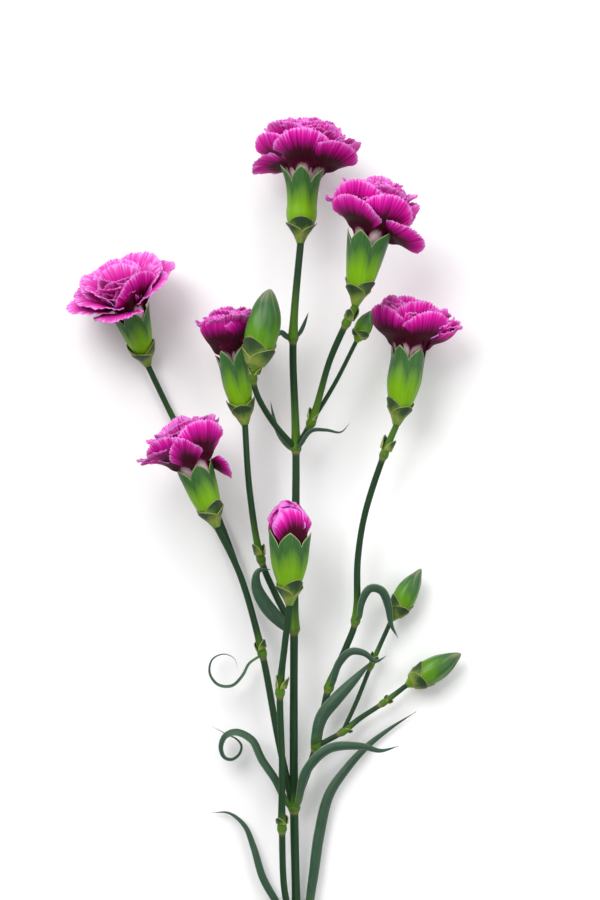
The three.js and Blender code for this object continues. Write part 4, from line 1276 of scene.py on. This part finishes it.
class CARNATION_OT_stems(bpy.types.Operator):
    """Sweep every stem along its route, swollen at its joints"""

    bl_idname = "carnation.stems"
    bl_label = "Stems"

    def execute(self, context):
        sizes = context.scene.carnation_sizes
        material = finish("stem_bloom", stem_finish)
        tree = path_tree("Stem", False)
        for name, (thick, thin, joints, route) in STEMS.items():
            route = np.array(route, float) + SKETCH_TO_ROW
            ahead = route[-1] - route[-2]
            route = np.vstack([route, route[-1] + STEM_SUNK * ahead / np.linalg.norm(ahead)])
            path, even, marks = smooth_path(route, STEM_STEP)
            reach = np.linspace(thick, thin, len(path)) * (1 + 0.02 * np.sin(even / 7))
            fresh, ringed, swell = (np.zeros(len(path)) for _ in range(3))
            for joint in joints:
                d = even - marks[joint]
                bulge = smoothstep((d + JOINT_BELOW) / JOINT_BELOW)
                bulge = bulge * np.exp(-np.clip(d, 0, None) / JOINT_ABOVE)
                swell = np.maximum(swell, bulge)
                # The fresh green sheath above a joint is longer higher up the plant.
                tall = 9 + 20 * smoothstep((path[joint_row(even, marks[joint]), 1] + 60) / 120)
                sheath = smoothstep((d + 1.6) / 1.2) * (1 - smoothstep(d / tall)) * 0.9
                fresh = np.maximum(fresh, sheath)
                ringed = np.maximum(ringed, np.exp(-((d + 1.8) / 0.7) ** 2) * 0.5)
            reach = reach * (1 + sizes.joint_swell * swell)
            if name == "main_stem":
                ringed[0] = 0.9
            source = route_object(
                path, even, reach, np.zeros(len(path)), fresh=fresh, ringed=ringed)
            piece = grow(f"{name}_stalk", source, tree, {
                "Sides": STEM_SIDES, "Thickness": 1.0, "Channel": 0.0, "Material": material})
            if name == "main_stem":
                self.cut(piece.data, path)
            settle(piece, None, "stem", name)
        return {"FINISHED"}

    @staticmethod
    def cut(mesh, path):
        """Slants the cut end of a stem."""
        places = np.empty(len(mesh.vertices) * 3)
        mesh.vertices.foreach_get("co", places)
        places = places.reshape(-1, 3) / MM
        along = (path[1] - path[0]) / np.linalg.norm(path[1] - path[0])
        near = np.clip(1 - (places - path[0]) @ along / 4, 0, 1)
        places += along * (0.9 * near * ((places - path[0]) @ np.cross(along, UP)))[:, None]
        mesh.vertices.foreach_set("co", (places * MM).ravel())
        mesh.update()


class CARNATION_OT_scales(bpy.types.Operator):
    """Set a pair of small pointed scales at each joint that bears no leaf"""

    bl_idname = "carnation.scales"
    bl_label = "Scales"

    def execute(self, context):
        material = finish("bract_green", bract_finish)
        tree = whorl_tree()
        for i, (stem, joint, length, first) in enumerate(SCALES):
            route = STEMS[stem][3]
            base, ahead = route[joint], route[joint + 1]
            body = STEMS[stem][0] * 1.35
            pattern = bract_pattern(
                "scale_0", 0.0, length, 74, ((0, length), (body, body + 0.5)), 0.15, 0.3, 90 + i)
            piece = grow_pairs(
                f"{stem}_scale_pair_{joint}", tree, (pattern,), ((0, first),), SCALE_JITTERS, i,
                material)
            piece.data.transform(axis_frame(base, ahead))
            settle(piece, None, "bract")
        return {"FINISHED"}


LEAF_STEP = 0.8  # millimetres between the points of a leaf's path
LEAF_THICKNESS = 0.13  # over the blade's width


class CARNATION_OT_leaves(bpy.types.Operator):
    """Sweep every leaf's channelled blade along its route"""

    bl_idname = "carnation.leaves"
    bl_label = "Leaves"

    def execute(self, context):
        sizes = context.scene.carnation_sizes
        material = finish("leaf_bloom", leaf_finish)
        tree = path_tree("Leaf blade", True)
        for name, (width, turn, route) in LEAVES.items():
            path, even, _ = smooth_path(np.array(route, float) + SKETCH_TO_ROW, LEAF_STEP)
            share = even / even[-1]
            foot = 0.62 + 0.38 * np.sin(np.clip(share / 0.4, 0, 1) * np.pi / 2)
            point = 1 - np.clip((share - 0.4) / 0.6, 0, 1) ** 1.9
            reach = width / 2 * np.maximum(foot * point, 0.05)
            turns = np.radians(turn[0] + (turn[1] - turn[0]) * share)
            source = route_object(path, even, reach, turns, share=share)
            piece = grow(f"{name}_blade", source, tree, {
                "Sides": LEAF_SIDES, "Thickness": LEAF_THICKNESS, "Channel": sizes.leaf_channel,
                "Material": material})
            settle(piece, None, "leaf", name)
        return {"FINISHED"}


# The stage, in metres: half the floor's width, the height the lights aim at, the flowers' height
# and the camera's distance above it. Then the lens in millimetres and the sky's strength.
FLOOR_HALF, LIT_HEIGHT, FLOWER_HEIGHT, EYE_DISTANCE = 1.6, 0.02, 0.022, 1.26
LENS, SKY = 120, 0.22


class CARNATION_OT_stage(bpy.types.Operator):
    """Lay the pale floor, set soft studio light and place the camera above"""

    bl_idname = "carnation.stage"
    bl_label = "Stage"

    def execute(self, context):
        colours = context.scene.carnation_colours
        middle = SKETCH_TO_ROW * MM
        corners = [(x * FLOOR_HALF, y * FLOOR_HALF, 0) for x, y in (
            (-1, -1), (1, -1), (1, 1), (-1, 1))]
        floor = mesh_object("floor", np.array(corners) / MM, [(0, 1, 2, 3)])
        floor.data.materials.append(floor_finish(colours))
        context.collection.objects.link(floor)
        # Each light's place from the point under the camera and its size, in metres; its watts.
        for name, place, size, power in (
            ("key", (-0.8, 0.9, 1.4), 1.2, 27.0),
            ("fill", (1.2, 0.2, 1.2), 1.5, 12.0),
            ("low_fill", (0.0, -1.4, 1.1), 1.5, 5.0),
            ("back", (0.2, 1.5, 1.0), 1.5, 16.0),
        ):
            light = bpy.data.lights.new(name, "AREA")
            light.size = size
            light.energy = power
            lamp = bpy.data.objects.new(name, light)
            lamp.location = Vector(place) + Vector(middle)
            aim = Vector((middle[0], middle[1], LIT_HEIGHT)) - lamp.location
            lamp.rotation_euler = aim.to_track_quat("-Z", "Y").to_euler()
            context.collection.objects.link(lamp)
        world = bpy.data.worlds.new("studio")
        world.use_nodes = True
        background = world.node_tree.nodes["Background"].inputs
        background["Color"].default_value = (1, 1, 1, 1)
        background["Strength"].default_value = SKY
        context.scene.world = world
        context.scene.view_settings.view_transform = "Standard"
        camera = bpy.data.cameras.new("camera")
        camera.lens = LENS
        camera.clip_end = 20
        eye = bpy.data.objects.new("camera", camera)
        eye.location = (middle[0], middle[1], FLOWER_HEIGHT + EYE_DISTANCE)
        context.collection.objects.link(eye)
        context.scene.camera = eye
        return {"FINISHED"}


class CARNATION_PT_panel(bpy.types.Panel):
    """Lists the steps that grow the plant"""

    bl_idname = "CARNATION_PT_panel"
    bl_label = "Cut carnation"
    bl_space_type = "VIEW_3D"
    bl_region_type = "UI"
    bl_category = "Carnation"

    def draw(self, context):
        for operator in OPERATORS:
            self.layout.operator(operator.bl_idname)
        for group in (context.scene.carnation_sizes, context.scene.carnation_colours):
            box = self.layout.box()
            for key in group.bl_rna.properties.keys():
                if key not in ("rna_type", "name"):
                    box.prop(group, key)


OPERATORS = (
    CARNATION_OT_stage, CARNATION_OT_stems, CARNATION_OT_scales, CARNATION_OT_leaves,
    CARNATION_OT_calyces, CARNATION_OT_bracts, CARNATION_OT_buds, CARNATION_OT_petals,
)
CLASSES = (CarnationSizes, CarnationColours, *OPERATORS, CARNATION_PT_panel)


def register():
    for cls in CLASSES:
        bpy.utils.register_class(cls)
    bpy.types.Scene.carnation_sizes = PointerProperty(type=CarnationSizes)
    bpy.types.Scene.carnation_colours = PointerProperty(type=CarnationColours)


def unregister():
    del bpy.types.Scene.carnation_colours
    del bpy.types.Scene.carnation_sizes
    for cls in reversed(CLASSES):
        bpy.utils.unregister_class(cls)


def main():
    register()
    bpy.ops.carnation.stage()
    bpy.ops.carnation.stems()
    bpy.ops.carnation.scales()
    bpy.ops.carnation.leaves()
    bpy.ops.carnation.calyces()
    bpy.ops.carnation.bracts()
    bpy.ops.carnation.buds()
    bpy.ops.carnation.petals()


if __name__ == "__main__":
    main()
